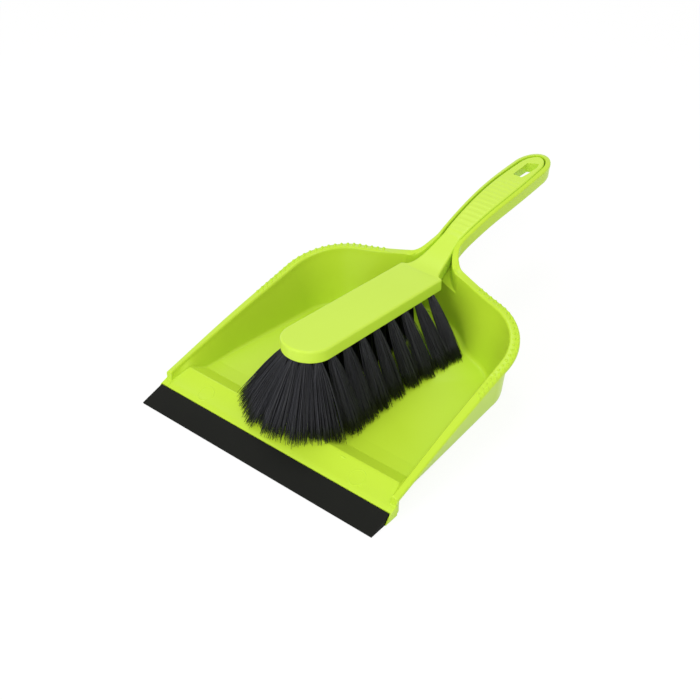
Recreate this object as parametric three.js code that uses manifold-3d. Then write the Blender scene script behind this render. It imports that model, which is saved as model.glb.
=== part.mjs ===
// Dust pan and hand brush. The brush lies in the pan with its handle nested in the pan's hollow handle.
// Millimetres, +Z up, +Y from the rubber lip to the end of the handle. X = 0 is the plane of symmetry.
// Shapes are worked out with y = 0 at the front of the lip; the last lines centre the set on the origin.
import * as THREE from 'three';
import { mergeVertices } from 'three/addons/utils/BufferGeometryUtils.js';
import Module from 'manifold-3d';

const wasm = await Module();
wasm.setup();

// ---------------------------------------------------------------- driving dimensions
const fit = 0.3;                    // gap between parts that touch
const wall = 2.0;                   // moulded wall of the pan

// Plan of the rim's outer edge, right half: side, rounded corner, back, neck, handle, round end.
const lipWidth = 202;
const overallLength = 347;
const rimFrontY = 24;
const rimOverhang = 0.7;            // the rim stands out this much beside the lip
const sideTaper = 3.2;              // each side draws in this much from front to back
const cornerY = 185.8;
const cornerRadius = 46.7;
const backRise = 21.5;              // the back runs this much rearwards from the corners to the neck
const neckHalfWidth = 10.1;
const neckRadius = 17.6;
const kneeHalfWidth = 15.0;
const kneeFromEnd = 57;
const kneeRadius = 500;
const handleEndHalfWidth = 14.1;    // the handle ends in half an ellipse
const handleEndLength = 22;
const backBendRadius = 60;          // of the back's outer face, under the neck

// Height of the rim above the floor: the sides, the back, then the steep neck and the handle.
const sideHeights = [12.9, 27.6, 39.9, 45.9];
const sideStations = [0, 0.377, 0.754, 0.933];          // shares of the side's length
const backHeight = 52.0;                                // half-way along the back
const neckHeights = [66.8, 73.4];
const neckStations = [7.7, 24.7];                       // behind the neck's corner
const handleHeights = [79.0, 82.1, 85.7];               // a third before the knee, knee, end
const flangeThickness = 2.1;
const rolledEdge = 2.8;             // depth of the rim's outer face

// Floor of the pan, front to back.
const lipDepth = 18.6;
const lipEdge = 1.0;                // thickness of the rubber's front edge
const lipBackHeight = 6.0;
const rampSlope = Math.tan(THREE.MathUtils.degToRad(17));
const rampEndY = 39;
const stepFootY = 51.5;
const floorHeight = 5.2;
const stepFootHeight = 6.0;
const scoopCentreY = 202;           // the floor's rear rises as a shallow cone round this point
const scoopRadius = 79;
const scoopSlope = Math.tan(THREE.MathUtils.degToRad(7));
const standingEdge = 2.2;           // width of the edge that the pan stands on
const tongueStartY = 11.5;
const tongueThickness = 1.5;
const tongueCover = 1.3;            // rubber above the tongue

// Hollow handle and the brush handle that lies in it.
const skirtDepth = 12.2;            // from the rim to the underside of the handle
const nestClearance = 0.8;
const brushHandleDepth = 10.3;
const brushProud = 0.4;             // the nested handle's top stands this much above the rim

// Brush block.
const blockHalfWidth = 18.3;
const noseCentreY = 60.8;
const shoulderGap = 0.8;            // the block's shoulders lie this much before the rim's corners
const blockThickness = 9.5;
const blockTopAtNose = 69.8;
const blockSlope = -0.093;          // the block dips towards its handle
const blockNeckHalfWidth = 14.8;
const neckRiseBefore = 2;           // the top starts to rise this far before the shoulders
const neckLength = 30;
const ribPitch = 5.35;
const ribsFromNeck = 14.7;
const ribsToSlot = 9.5;
const ribWidth = 2.4;
const ribHeight = 0.7;
const ribBow = 2.2;
const slotHalfWidth = 3.1;
const slotLength = 21.5;
const slotFromEnd = 19;

// Tufts: root circle, hole, and how far they splay before they reach the pan.
const tuftRadius = 1.9;
const holeRadius = tuftRadius + 0.35;
const holeDepth = 6;
const anchorDepth = 0.9;
const anchorThickness = 0.5;
const rootInset = 5.4;              // from the block's edge to the holes' centres
const sideTufts = 8;
const tuftsFromNose = 6.3;          // from the nose's centre to the first side tuft
const tuftPitch = 15.7;
const forwardLean = 0.03;           // how far the tips lean to the nose, per unit behind its centre
const noseTufts = 5;
const middleTufts = 7;
const sideTipX = 36.5;
const noseTipForward = 29;
const noseTipSideways = 38;
const noseTipBack = 4;              // the nose tufts splay round a point this far before its centre
const tipClearance = 0.8;
const sideTip = { halfAcross: 5.6, halfAlong: 5.9 };
const noseTip = { halfAcross: 5.5, halfAlong: 6.2 };
const middleTip = { halfAcross: 6.5, halfAlong: 5.6 };

const lime = { color: 0xb4dc28, roughness: 0.38, metalness: 0 };
const limeBrush = { color: 0xbfe03a, roughness: 0.4, metalness: 0 };
const blackRubber = { color: 0x20221f, roughness: 0.6, metalness: 0 };
const charcoalBristle = { color: 0x25262b, roughness: 0.55, metalness: 0 };
const steelWire = { color: 0x9a9c9e, roughness: 0.35, metalness: 1 };

// ---------------------------------------------------------------- solids
function solidOf(geometry) {
  const bare = geometry.clone();
  bare.deleteAttribute('normal');
  bare.deleteAttribute('uv');
  const merged = mergeVertices(bare, 1e-4);
  return new wasm.Manifold(new wasm.Mesh({
    numProp: 3,
    vertProperties: new Float32Array(merged.attributes.position.array),
    triVerts: new Uint32Array(merged.index.array),
  }));
}

function geometryOf(solid) {
  const mesh = solid.getMesh();
  const positions = new Float32Array(mesh.vertProperties);
  const geometry = new THREE.BufferGeometry();
  geometry.setAttribute('position', new THREE.BufferAttribute(positions, 3));
  geometry.setIndex(new THREE.BufferAttribute(new Uint32Array(mesh.triVerts), 1));
  return geometry;
}

// Cutting along shared walls can leave crumbs of no volume beside the body.
function bodyOf(solid) {
  return solid.decompose().reduce((body, piece) => (piece.volume() > body.volume() ? piece : body));
}

// Closed solid through mirrored rings, lowest first. Each ring is the right half of a loop, front to
// back, as [x, y, z] points; its left half is the mirror image. Rungs across the loop close the ends.
function loftHalves(rings) {
  const half = rings[0].length;
  const endsOnPlane = Math.abs(rings[0][half - 1][0]) < 1e-9;
  const startsOnPlane = Math.abs(rings[0][0][0]) < 1e-9;
  const onPlane = (i) => (i === half - 1 && endsOnPlane) || (i === 0 && startsOnPlane);
  const mirrored = new Map();
  const order = [];
  for (let i = half - 1; i >= 0; i -= 1) {
    if (onPlane(i)) continue;
    mirrored.set(i, half + order.length);
    order.push(i);
  }
  const leftIndex = (i) => (onPlane(i) ? i : mirrored.get(i));
  const count = half + order.length;
  const positions = [];
  for (const ring of rings) {
    for (const [x, y, z] of ring) positions.push(x, y, z);
    for (const i of order) positions.push(-ring[i][0], ring[i][1], ring[i][2]);
  }
  const index = [];
  for (let k = 0; k < rings.length - 1; k += 1) {
    for (let i = 0; i < count; i += 1) {
      const a = k * count + i;
      const b = k * count + ((i + 1) % count);
      index.push(a, b, b + count, a, b + count, a + count);
    }
  }
  const top = (rings.length - 1) * count;
  for (let i = 0; i < half - 1; i += 1) {
    const quad = [i, i + 1, leftIndex(i + 1), leftIndex(i)];
    for (const [p, q, r] of [[0, 1, 2], [0, 2, 3]]) {
      const corners = [quad[p], quad[q], quad[r]];
      if (new Set(corners).size < 3) continue;
      index.push(top + corners[0], top + corners[1], top + corners[2]);
      index.push(corners[0], corners[2], corners[1]);
    }
  }
  const geometry = new THREE.BufferGeometry();
  geometry.setAttribute('position', new THREE.Float32BufferAttribute(positions, 3));
  geometry.setIndex(index);
  return solidOf(geometry);
}

// Bar of constant section along X: the section is a list of [y, z] points.
function barAcross(section, halfWidth) {
  const shape = new THREE.Shape(section.map(([y, z]) => new THREE.Vector2(y, z)));
  const geometry = new THREE.ExtrudeGeometry(shape, { depth: 2 * halfWidth, bevelEnabled: false });
  geometry.applyMatrix4(new THREE.Matrix4().makeBasis(
    new THREE.Vector3(0, 1, 0), new THREE.Vector3(0, 0, 1), new THREE.Vector3(1, 0, 0)));
  geometry.translate(-halfWidth, 0, 0);
  return solidOf(geometry);
}

// ---------------------------------------------------------------- curves
// Cubic between two heights with given slopes, at the fraction t of the span.
function hermite(startZ, startSlope, endZ, endSlope, span, t) {
  return (1 + 2 * t) * (1 - t) ** 2 * startZ + t * (1 - t) ** 2 * span * startSlope
    + t * t * (3 - 2 * t) * endZ + t * t * (t - 1) * span * endSlope;
}

// Smooth rising curve through [{y, z}] points that never overshoots them (monotone cubic).
function smoothHeight(points, y) {
  const last = points.length - 1;
  if (y <= points[0].y) return points[0].z;
  if (y >= points[last].y) return points[last].z;
  const i = points.findIndex((p) => p.y > y) - 1;
  const secant = (k) => (points[k + 1].z - points[k].z) / (points[k + 1].y - points[k].y);
  const slopeAt = (k) => {
    if (k === 0) return secant(0);
    if (k === last) return secant(last - 1);
    const before = secant(k - 1);
    const after = secant(k);
    return before * after <= 0 ? 0 : (2 * before * after) / (before + after);
  };
  const span = points[i + 1].y - points[i].y;
  const t = (y - points[i].y) / span;
  return hermite(points[i].z, slopeAt(i), points[i + 1].z, slopeAt(i + 1), span, t);
}

const blend = (a, b, t) => a + (b - a) * THREE.MathUtils.clamp(t, 0, 1);

// ---------------------------------------------------------------- stations along the set
const neckY = cornerY + backRise;
const kneeY = overallLength - kneeFromEnd;
const slotEndY = overallLength - slotFromEnd;
const slotStartY = slotEndY - slotLength;
const shoulderY = cornerY - shoulderGap;
const neckRise = { from: shoulderY - neckRiseBefore, to: neckY + neckStations.at(-1) };

const rimHeights = [
  ...sideStations.map((share, i) => ({ y: blend(rimFrontY, cornerY, share), z: sideHeights[i] })),
  { y: (cornerY + neckY) / 2, z: backHeight },
  ...neckStations.map((behind, i) => ({ y: neckY + behind, z: neckHeights[i] })),
  { y: blend(neckY, kneeY, 2 / 3), z: handleHeights[0] },
  { y: kneeY, z: handleHeights[1] },
  { y: overallLength, z: handleHeights[2] },
];
const rimHeight = (y) => smoothHeight(rimHeights, y);

// Top of the brush: the block's plane, a smooth rise along the neck, then level with the rim.
const blockTop = (y) => blockTopAtNose + blockSlope * (y - noseCentreY);
function brushTop(y) {
  if (y <= neckRise.from) return blockTop(y);
  if (y >= neckRise.to) return rimHeight(y) + brushProud;
  const endSlope = (rimHeight(neckRise.to + 1) - rimHeight(neckRise.to - 1)) / 2;
  return hermite(blockTop(neckRise.from), blockSlope, rimHeight(neckRise.to) + brushProud, endSlope,
    neckRise.to - neckRise.from, (y - neckRise.from) / (neckRise.to - neckRise.from));
}
const brushDepth = (y) => blend(blockThickness, brushHandleDepth, (y - shoulderY) / neckLength);
const brushUnderside = (y) => brushTop(y) - brushDepth(y);
const troughFloor = (y) => Math.min(brushUnderside(y) - fit, rimHeight(y) - skirtDepth + wall);

// Arc of the given radius that rounds the corner b of the path a-b-c, as count points.
function roundedCorner(a, b, c, radius, count) {
  const u = a.clone().sub(b).normalize();
  const v = c.clone().sub(b).normalize();
  const halfAngle = Math.acos(THREE.MathUtils.clamp(u.dot(v), -1, 1)) / 2;
  const toCentre = u.clone().add(v).normalize();
  const centre = b.clone().addScaledVector(toCentre, radius / Math.sin(halfAngle));
  const start = b.clone().addScaledVector(u, radius / Math.tan(halfAngle)).sub(centre).angle();
  const end = b.clone().addScaledVector(v, radius / Math.tan(halfAngle)).sub(centre).angle();
  const turn = THREE.MathUtils.euclideanModulo(end - start + Math.PI, 2 * Math.PI) - Math.PI;
  return Array.from({ length: count }, (_, i) => {
    const angle = start + (turn * i) / (count - 1);
    return new THREE.Vector2(centre.x + radius * Math.cos(angle), centre.y + radius * Math.sin(angle));
  });
}

// Points between two ends, without the ends.
function between(a, b, count) {
  return Array.from({ length: count }, (_, i) => a.clone().lerp(b, (i + 1) / (count + 1)));
}

// ---------------------------------------------------------------- outline of the rim
const rimFrontHalfWidth = lipWidth / 2 + rimOverhang;
const frontPoint = new THREE.Vector2(rimFrontHalfWidth, rimFrontY);
const cornerPoint = new THREE.Vector2(rimFrontHalfWidth - sideTaper, cornerY);
const neckPoint = new THREE.Vector2(neckHalfWidth, neckY);
const kneePoint = new THREE.Vector2(kneeHalfWidth, kneeY);
const tipPoint = new THREE.Vector2(0, overallLength);

const cornerArc = roundedCorner(frontPoint, cornerPoint, neckPoint, cornerRadius, 13);
const neckArc = roundedCorner(cornerPoint, neckPoint, kneePoint, neckRadius, 13);
const endSteps = 10;
const endArc = Array.from({ length: endSteps }, (_, i) => {
  const angle = (Math.PI / 2) * (i / endSteps);
  return new THREE.Vector2(
    handleEndHalfWidth * Math.cos(angle), overallLength - handleEndLength * (1 - Math.sin(angle)));
});
const kneeArc = roundedCorner(neckPoint, kneePoint, endArc[0], kneeRadius, 4);

const alongSide = (y) => (y - rimFrontY) / (cornerY - rimFrontY);
const onSide = (y) => frontPoint.clone().lerp(cornerPoint, alongSide(y));
const sideRun = [
  frontPoint, onSide(rampEndY), onSide((rampEndY + stepFootY) / 2), onSide(stepFootY),
  ...between(onSide(stepFootY), cornerArc[0], 4),
];
const backRun = between(cornerArc.at(-1), neckArc[0], 3);
const handleRun = [
  ...between(neckArc.at(-1), kneeArc[0], 4), ...kneeArc, ...between(kneeArc.at(-1), endArc[0], 2),
];

const bowlHalf = [...sideRun, ...cornerArc, ...backRun];
const rimHalf = [...bowlHalf, ...neckArc, ...handleRun, ...endArc, tipPoint];
// Without the neck the back runs on to the plane of symmetry, where its two halves meet in a soft bend.
const backSlope = backRise / (cornerPoint.x - neckPoint.x);
const backMiddle = new THREE.Vector2(0, neckY + backSlope * neckHalfWidth);
const otherSide = new THREE.Vector2(-neckArc[0].x, neckArc[0].y);
const backBend = roundedCorner(neckArc[0], backMiddle, otherSide, backBendRadius, 7).slice(0, 4);
backBend[3].x = 0;
const bowlClosed = [...bowlHalf, ...backBend];

// Unit normal of a half outline at point i, pointing inwards.
function inwardAt(outline, i) {
  const before = outline[Math.max(i - 1, 0)];
  const after = outline[Math.min(i + 1, outline.length - 1)];
  if (outline[i].x === 0) return new THREE.Vector2(0, i === 0 ? 1 : -1);
  const along = after.clone().sub(before).normalize();
  return new THREE.Vector2(-along.y, along.x);
}

function insetPoint(outline, i, distance) {
  return outline[i].clone().addScaledVector(inwardAt(outline, i), distance);
}

// Ring of a loft: the outline moved in by inset(i), at height(i, point).
function ringOf(outline, inset, height) {
  return outline.map((_, i) => {
    const point = insetPoint(outline, i, inset(i));
    return [Math.max(point.x, 0), point.y, height(i, point)];
  });
}

// Width of the rim's flange: widest round the rear corners, narrow along the handle.
const frontFlange = 4.8;
const cornerFlange = 7.6;
const neckFlange = 6.4;
const handleFlange = 2.6;
const endFlange = 4.4;
const sideCount = sideRun.length;
const cornerEnd = sideCount + cornerArc.length;
const bowlCount = bowlHalf.length;
const neckEnd = bowlCount + neckArc.length;
function flangeWidth(i) {
  const y = rimHalf[Math.min(i, rimHalf.length - 1)].y;
  const along = (from, to) => (y - from.y) / (to.y - from.y);
  if (i < sideCount) return blend(frontFlange, cornerFlange, along(frontPoint, cornerArc[0]));
  if (i < cornerEnd) return cornerFlange;
  if (i < bowlCount) return blend(cornerFlange, neckFlange, (i - cornerEnd + 1) / (backRun.length + 1));
  if (i < neckEnd) return blend(neckFlange, handleFlange, (i - bowlCount + 1) / neckArc.length);
  return blend(handleFlange, endFlange, along(neckArc.at(-1), tipPoint) ** 3);
}

// The flange's inner edge stands a little above its outer edge, but dips where the neck turns.
const flangeRise = 1.3;
const neckDip = -1.2;
const handleRise = 0.8;
function riseAt(i) {
  const turn = i - bowlCount;
  if (turn < 4) return blend(flangeRise, neckDip, (turn + 3) / 7);
  return blend(neckDip, handleRise, (turn - 4) / 9);
}

// ---------------------------------------------------------------- floor of the pan
const rampHeight = (y) => lipBackHeight + (y - lipDepth) * rampSlope;
const lipTop = (y) => blend(lipEdge, lipBackHeight, y / lipDepth);
const floorRun = 12;                // the floor levels out over this distance behind the step
function floorAt(y) {
  const downStep = (y - rampEndY) / (stepFootY - rampEndY);
  if (y <= rampEndY) return rampHeight(y);
  if (y <= stepFootY) return blend(rampHeight(rampEndY), stepFootHeight, downStep);
  return blend(stepFootHeight, floorHeight, (y - stepFootY) / floorRun);
}
function panSurface(x, y) {
  const fromScoop = Math.hypot(x, y - scoopCentreY);
  return floorAt(y) + Math.max(0, scoopRadius - fromScoop) * scoopSlope;
}

// How far the foot of the wall lies inside the rim's inner edge: its inner face, then its outer face.
const frontLean = 0.4;
const sideLean = 5;
const sideLeanToY = 80;             // behind this the walls lean out more and more towards the corners
const backLean = 11;
const grooveLean = 3.5;             // the middle of the back stands upright, as a groove under the neck
const leanHeight = 40;              // the height over which the inner face leans
function innerLean(i) {
  const { y } = bowlClosed[i];
  const along = (from, to) => (y - from) / (to - from);
  if (i < sideCount && y < stepFootY) return blend(frontLean, sideLean, along(rimFrontY, stepFootY));
  if (i < sideCount) return blend(sideLean, backLean, along(sideLeanToY, cornerArc[0].y));
  return i < bowlCount ? backLean : grooveLean;
}
const cheekLean = -6;               // the side walls end in cheeks that stand out beside the lip
const cheekLength = 11;
const outerSideLean = 2.6;
const outerBackLean = 0.8;
function outerLean(i) {
  const { y } = bowlClosed[i];
  if (i < sideCount) return blend(cheekLean, outerSideLean, (y - rimFrontY) / cheekLength);
  return blend(outerSideLean, outerBackLean, (i - sideCount) / 8);
}
const beyond = 40;                  // how far the cutting shapes reach past the pan

function panBowlOuter() {
  const foot = (extra) => (i) => flangeWidth(i) + outerLean(i) + extra;
  const behindCheek = (i) => (bowlClosed[i].y - rimFrontY) / cheekLength;
  const underFlange = (i) => blend(1.2, flangeWidth(i) - wall, behindCheek(i));
  const rings = [
    ringOf(bowlClosed, foot(1.6), () => 0),
    ringOf(bowlClosed, foot(0.5), () => 0.9),
    ringOf(bowlClosed, foot(-0.2), () => 2.4),
    ringOf(bowlClosed, underFlange, (i) => rimHeight(bowlClosed[i].y) - 0.5),
  ];
  rings.forEach((ring) => { ring[0][1] = lipDepth + fit; });
  return loftHalves(rings);
}

// The walls' front ends slope back from the lip to the top of the rim.
function frontTrim() {
  const foot = [lipDepth + fit, rampHeight(lipDepth + fit) + 0.8];
  const head = [rimFrontY + 1.6, rimHeight(rimFrontY) + flangeRise];
  return barAcross(
    [[-beyond, foot[1]], foot, head, [head[0], head[1] + beyond], [-beyond, head[1] + beyond]],
    rimFrontHalfWidth + beyond);
}

// Space inside the bowl, or with grow the same space with its walls and floor moved out by that much.
function panCavity(grow) {
  const fillet = [
    { up: -0.4, lean: 4 }, { up: 0.5, lean: 2.2 }, { up: 1.9, lean: 0.8 }, { up: 5, lean: 0 },
  ];
  const footHeight = (point) => panSurface(point.x, Math.max(point.y, rimFrontY)) - grow;
  const inset = (extra) => (i) => flangeWidth(i) + extra - grow;
  const overRim = (rise) => (i) => rimHeight(bowlClosed[i].y) + flangeRise + rise;
  const rings = [
    ringOf(bowlClosed, (i) => inset(innerLean(i) + 5)(i), () => -beyond),
    ...fillet.map(({ up, lean }) => ringOf(
      bowlClosed,
      (i) => inset(innerLean(i) * (1 - up / leanHeight) + lean)(i),
      (i, point) => footHeight(point) + up,
    )),
    ringOf(bowlClosed, inset(0), overRim(-0.9)),
    ringOf(bowlClosed, inset(-0.8), overRim(0.05)),
    ringOf(bowlClosed, inset(-0.8), overRim(beyond)),
  ];
  // The bowl is open in front: its rings run on past the lip.
  const open = rings.map((ring) => [[ring[0][0], -beyond, ring[0][2]], ...ring]);
  return loftHalves(open).subtract(belowFloor(grow).add(scoop(grow)));
}

// Everything under the floor's surface, or under a surface that much lower.
function belowFloor(drop) {
  const surface = [
    [-beyond, rampHeight(-beyond)], [rampEndY, rampHeight(rampEndY)], [stepFootY, stepFootHeight],
    [stepFootY + floorRun, floorHeight], [overallLength, floorHeight],
  ].map(([y, z]) => [y, z - drop]);
  return barAcross(
    [[-beyond, -beyond], ...surface, [overallLength, -beyond]], rimFrontHalfWidth + beyond);
}

function scoop(drop) {
  const flatRadius = 12;
  const sunk = 3;
  const top = floorHeight + (scoopRadius - flatRadius) * scoopSlope;
  const profile = [
    [0, floorHeight - sunk], [scoopRadius, floorHeight - sunk], [scoopRadius, floorHeight],
    [flatRadius, top], [0, top],
  ].map(([r, z]) => new THREE.Vector2(r, z - drop));
  const cone = new THREE.LatheGeometry(profile, 48);
  cone.rotateX(Math.PI / 2);
  cone.translate(0, scoopCentreY, 0);
  return solidOf(cone);
}

// Tongue in front of the ramp, for the lip to be pushed on.
function lipTongue() {
  const root = lipDepth + fit + 1;
  const top = (y) => lipTop(y) - tongueCover - fit;
  return barAcross([
    [tongueStartY, top(tongueStartY) - tongueThickness], [root, top(lipDepth) - tongueThickness],
    [root, top(lipDepth)], [lipDepth, top(lipDepth)], [tongueStartY, top(tongueStartY)],
  ], lipWidth / 2);
}

// Hollow of the underside, inside the edge that the pan stands on and the outer wall.
function undersideHollow() {
  const foot = (extra) => (i) => flangeWidth(i) + outerLean(i) + extra + wall;
  const rings = [
    ringOf(bowlClosed, foot(1.8), () => -1),
    ringOf(bowlClosed, foot(0.2), () => 2.4),
    ringOf(bowlClosed, flangeWidth, (i) => rimHeight(bowlClosed[i].y) - 3),
  ];
  rings.forEach((ring, k) => { ring[0][1] = k < 2 ? lipDepth + fit + standingEdge : rimFrontY + 3; });
  return loftHalves(rings).subtract(panCavity(wall));
}

function rimFlange() {
  // Section of the flange, inner top edge first: distance in from the outer edge and height over it.
  const section = [
    (i) => [flangeWidth(i) + 1.2, riseAt(i) - 0.4],
    (i) => [flangeWidth(i) - 0.9, riseAt(i)],
    () => [0.9, 0],
    () => [0.1, -0.6],
    () => [0, 0.5 - rolledEdge],
    () => [0.5, -rolledEdge],
    (i) => [Math.min(1.5, 0.36 * flangeWidth(i)), -rolledEdge],
    (i) => [flangeWidth(i) - 1.6, riseAt(i) - flangeThickness],
    (i) => [flangeWidth(i) + 1.2, riseAt(i) - flangeThickness - 1.0],
  ];
  const right = rimHalf.map((point, i) => section.map((at) => {
    const [inset, rise] = at(i);
    const p = insetPoint(rimHalf, i, inset);
    return [i === rimHalf.length - 1 ? 0 : p.x, p.y, rimHeight(point.y) + rise];
  }));
  const left = right.slice(0, -1).reverse().map((ring) => ring.map(([x, y, z]) => [-x, y, z]));
  const stations = [...right, ...left];
  const sides = section.length;
  const positions = stations.flat(2);
  const index = [];
  for (let k = 0; k < stations.length - 1; k += 1) {
    for (let j = 0; j < sides; j += 1) {
      const a = k * sides + j;
      const b = k * sides + ((j + 1) % sides);
      index.push(a, b, b + sides, a, b + sides, a + sides);
    }
  }
  const end = (stations.length - 1) * sides;
  for (let j = 1; j < sides - 1; j += 1) {
    index.push(0, j + 1, j);
    index.push(end, end + j, end + j + 1);
  }
  const geometry = new THREE.BufferGeometry();
  geometry.setAttribute('position', new THREE.Float32BufferAttribute(positions, 3));
  geometry.setIndex(index);
  return solidOf(geometry);
}

// Neck and handle of the pan: the rim's outline from the middle of the back to the end of the handle.
const handleFrom = bowlCount - 2;
const handleOutline = rimHalf.slice(handleFrom);
const underRim = (outline, drop) => (i) => rimHeight(outline[i].y) - drop;
const overTrough = (rise) => (i, point) => troughFloor(point.y) + rise;

function panHandleOuter() {
  const intoBack = (i) => blend(1.4, 0, i / 4);
  const wallInset = (i) => blend(flangeWidth(i + handleFrom) - wall, 0.9, (i - 2) / neckArc.length);
  const inset = (extra) => (i) => wallInset(i) + intoBack(i) + extra;
  return loftHalves([
    ringOf(handleOutline, inset(1.6), overTrough(-wall)),
    ringOf(handleOutline, inset(0.8), overTrough(0.5 - wall)),
    ringOf(handleOutline, inset(0.4), overTrough(1.8 - wall)),
    ringOf(handleOutline, inset(0), underRim(handleOutline, 0.8)),
  ]);
}

function handleTrough() {
  const troughFrom = bowlCount;
  const outline = rimHalf.slice(troughFrom);
  const inset = (extra) => (i) => flangeWidth(i + troughFrom) + extra;
  const underEdge = (drop) => (i) => rimHeight(outline[i].y) + riseAt(i + troughFrom) - drop;
  const chamfer = (i) => flangeWidth(i + troughFrom) - blend(0, 0.7, i / 4);
  const rings = [
    ringOf(outline, inset(0.7), overTrough(0)),
    ringOf(outline, inset(0.1), overTrough(0.8)),
    ringOf(outline, inset(0), underEdge(0.9)),
    ringOf(outline, chamfer, underEdge(-0.05)),
    ringOf(outline, chamfer, underEdge(-20)),
  ];
  const reach = 18;                 // the trough runs out through the back wall into the bowl
  return loftHalves(rings.map((ring) => [[ring[0][0], ring[0][1] - reach, ring[0][2]], ...ring]));
}

function slotCutter(halfWidth, fromY, toY) {
  const shape = new THREE.Shape();
  const r = 1.4;
  shape.moveTo(-halfWidth + r, fromY);
  shape.lineTo(halfWidth - r, fromY);
  shape.quadraticCurveTo(halfWidth, fromY, halfWidth, fromY + r);
  shape.lineTo(halfWidth, toY - r);
  shape.quadraticCurveTo(halfWidth, toY, halfWidth - r, toY);
  shape.lineTo(-halfWidth + r, toY);
  shape.quadraticCurveTo(-halfWidth, toY, -halfWidth, toY - r);
  shape.lineTo(-halfWidth, fromY + r);
  shape.quadraticCurveTo(-halfWidth, fromY, -halfWidth + r, fromY);
  const depth = 80;
  const geometry = new THREE.ExtrudeGeometry(shape, { depth, bevelEnabled: false, curveSegments: 3 });
  geometry.translate(0, 0, rimHeight(fromY) - depth / 2);
  return solidOf(geometry);
}

function makePan() {
  const pan = panBowlOuter().add(panHandleOuter()).add(rimFlange()).add(lipTongue())
    .subtract(panCavity(0))
    .subtract(handleTrough())
    .subtract(undersideHollow())
    .subtract(frontTrim())
    .subtract(slotCutter(slotHalfWidth, slotStartY, slotEndY));
  return bodyOf(pan);
}

// ---------------------------------------------------------------- rubber lip
function makeRubberLip() {
  const slotTop = (y) => lipTop(y) - tongueCover;
  const slotThickness = tongueThickness + 2 * fit;
  const slotFrontY = tongueStartY - fit;
  return barAcross([
    [0, 0], [lipDepth, 0], [lipDepth, slotTop(lipDepth) - slotThickness],
    [slotFrontY, slotTop(slotFrontY) - slotThickness], [slotFrontY, slotTop(slotFrontY)],
    [lipDepth, slotTop(lipDepth)], [lipDepth, lipTop(lipDepth)], [0, lipEdge],
  ], lipWidth / 2);
}

// ---------------------------------------------------------------- brush body
function brushOutline() {
  const nose = Array.from({ length: 13 }, (_, i) => {
    const angle = -Math.PI / 2 + (Math.PI / 2) * (i / 12);
    return new THREE.Vector2(
      blockHalfWidth * Math.cos(angle), noseCentreY + blockHalfWidth * Math.sin(angle));
  });
  nose[0].x = 0;
  const shoulder = new THREE.Vector2(blockHalfWidth, shoulderY);
  const inner = new THREE.Vector2(blockNeckHalfWidth, shoulderY + 1.4);
  const sides = between(nose[12], shoulder.clone().setY(shoulderY - 3), 5);
  const shoulderArc = roundedCorner(nose[12], shoulder, inner, 2.0, 4);
  // From the handle's start the outline follows the trough, the clearance inside it.
  const start = neckEnd - 1;
  const handle = [];
  for (let i = start; i < rimHalf.length; i += 1) {
    handle.push(insetPoint(rimHalf, i, flangeWidth(i) + nestClearance));
  }
  handle[handle.length - 1].x = 0;
  const neck = new THREE.CubicBezierCurve(
    inner, new THREE.Vector2(blockNeckHalfWidth - 3.6, shoulderY + 5),
    new THREE.Vector2(handle[0].x + 1.1, handle[0].y - 13), handle[0]);
  return [...nose, ...sides, ...shoulderArc, ...neck.getPoints(8).slice(0, -1), ...handle];
}

const brushHalf = brushOutline();

function brushBlank() {
  const at = (drop) => (i) => brushTop(brushHalf[i].y) - drop;
  const bottom = (rise) => (i) => brushUnderside(brushHalf[i].y) + rise;
  const rings = [
    ringOf(brushHalf, () => 1.0, bottom(0)),
    ringOf(brushHalf, () => 0.2, bottom(0.8)),
    ringOf(brushHalf, () => 0, at(1.6)),
    ringOf(brushHalf, () => 0.25, at(0.65)),
    ringOf(brushHalf, () => 0.8, at(0.15)),
    ringOf(brushHalf, () => 1.5, at(0)),
  ];
  return loftHalves(rings);
}

// Slightly bowed bars across the grip.
function gripRib(y) {
  const half = insetHalfWidthAt(y) - 1.2;
  const steps = 4;
  const line = (offset) => Array.from({ length: 2 * steps + 1 }, (_, i) => {
    const x = half * (i / steps - 1);
    return new THREE.Vector2(x, y + offset + ribBow * (1 - (x / half) ** 2));
  });
  const shape = new THREE.Shape([...line(-ribWidth / 2), ...line(ribWidth / 2).reverse()]);
  const sunk = 2;
  const bevel = { up: 0.3, in: 0.5 };
  const geometry = new THREE.ExtrudeGeometry(shape, {
    depth: ribHeight + sunk - bevel.up,
    bevelEnabled: true,
    bevelThickness: bevel.up,
    bevelSize: bevel.in,
    bevelOffset: -bevel.in,
    bevelSegments: 1,
  });
  const rise = Math.atan((brushTop(y + 1) - brushTop(y - 1)) / 2);
  geometry.translate(0, -y, -sunk);
  geometry.rotateX(rise);
  geometry.translate(0, y, brushTop(y));
  return solidOf(geometry);
}

function insetHalfWidthAt(y) {
  const i = brushHalf.findIndex((p, k) => k > 0 && p.y >= y && p.x > 0);
  const a = brushHalf[i - 1];
  const b = brushHalf[i];
  return blend(a.x, b.x, (y - a.y) / (b.y - a.y));
}

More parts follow.
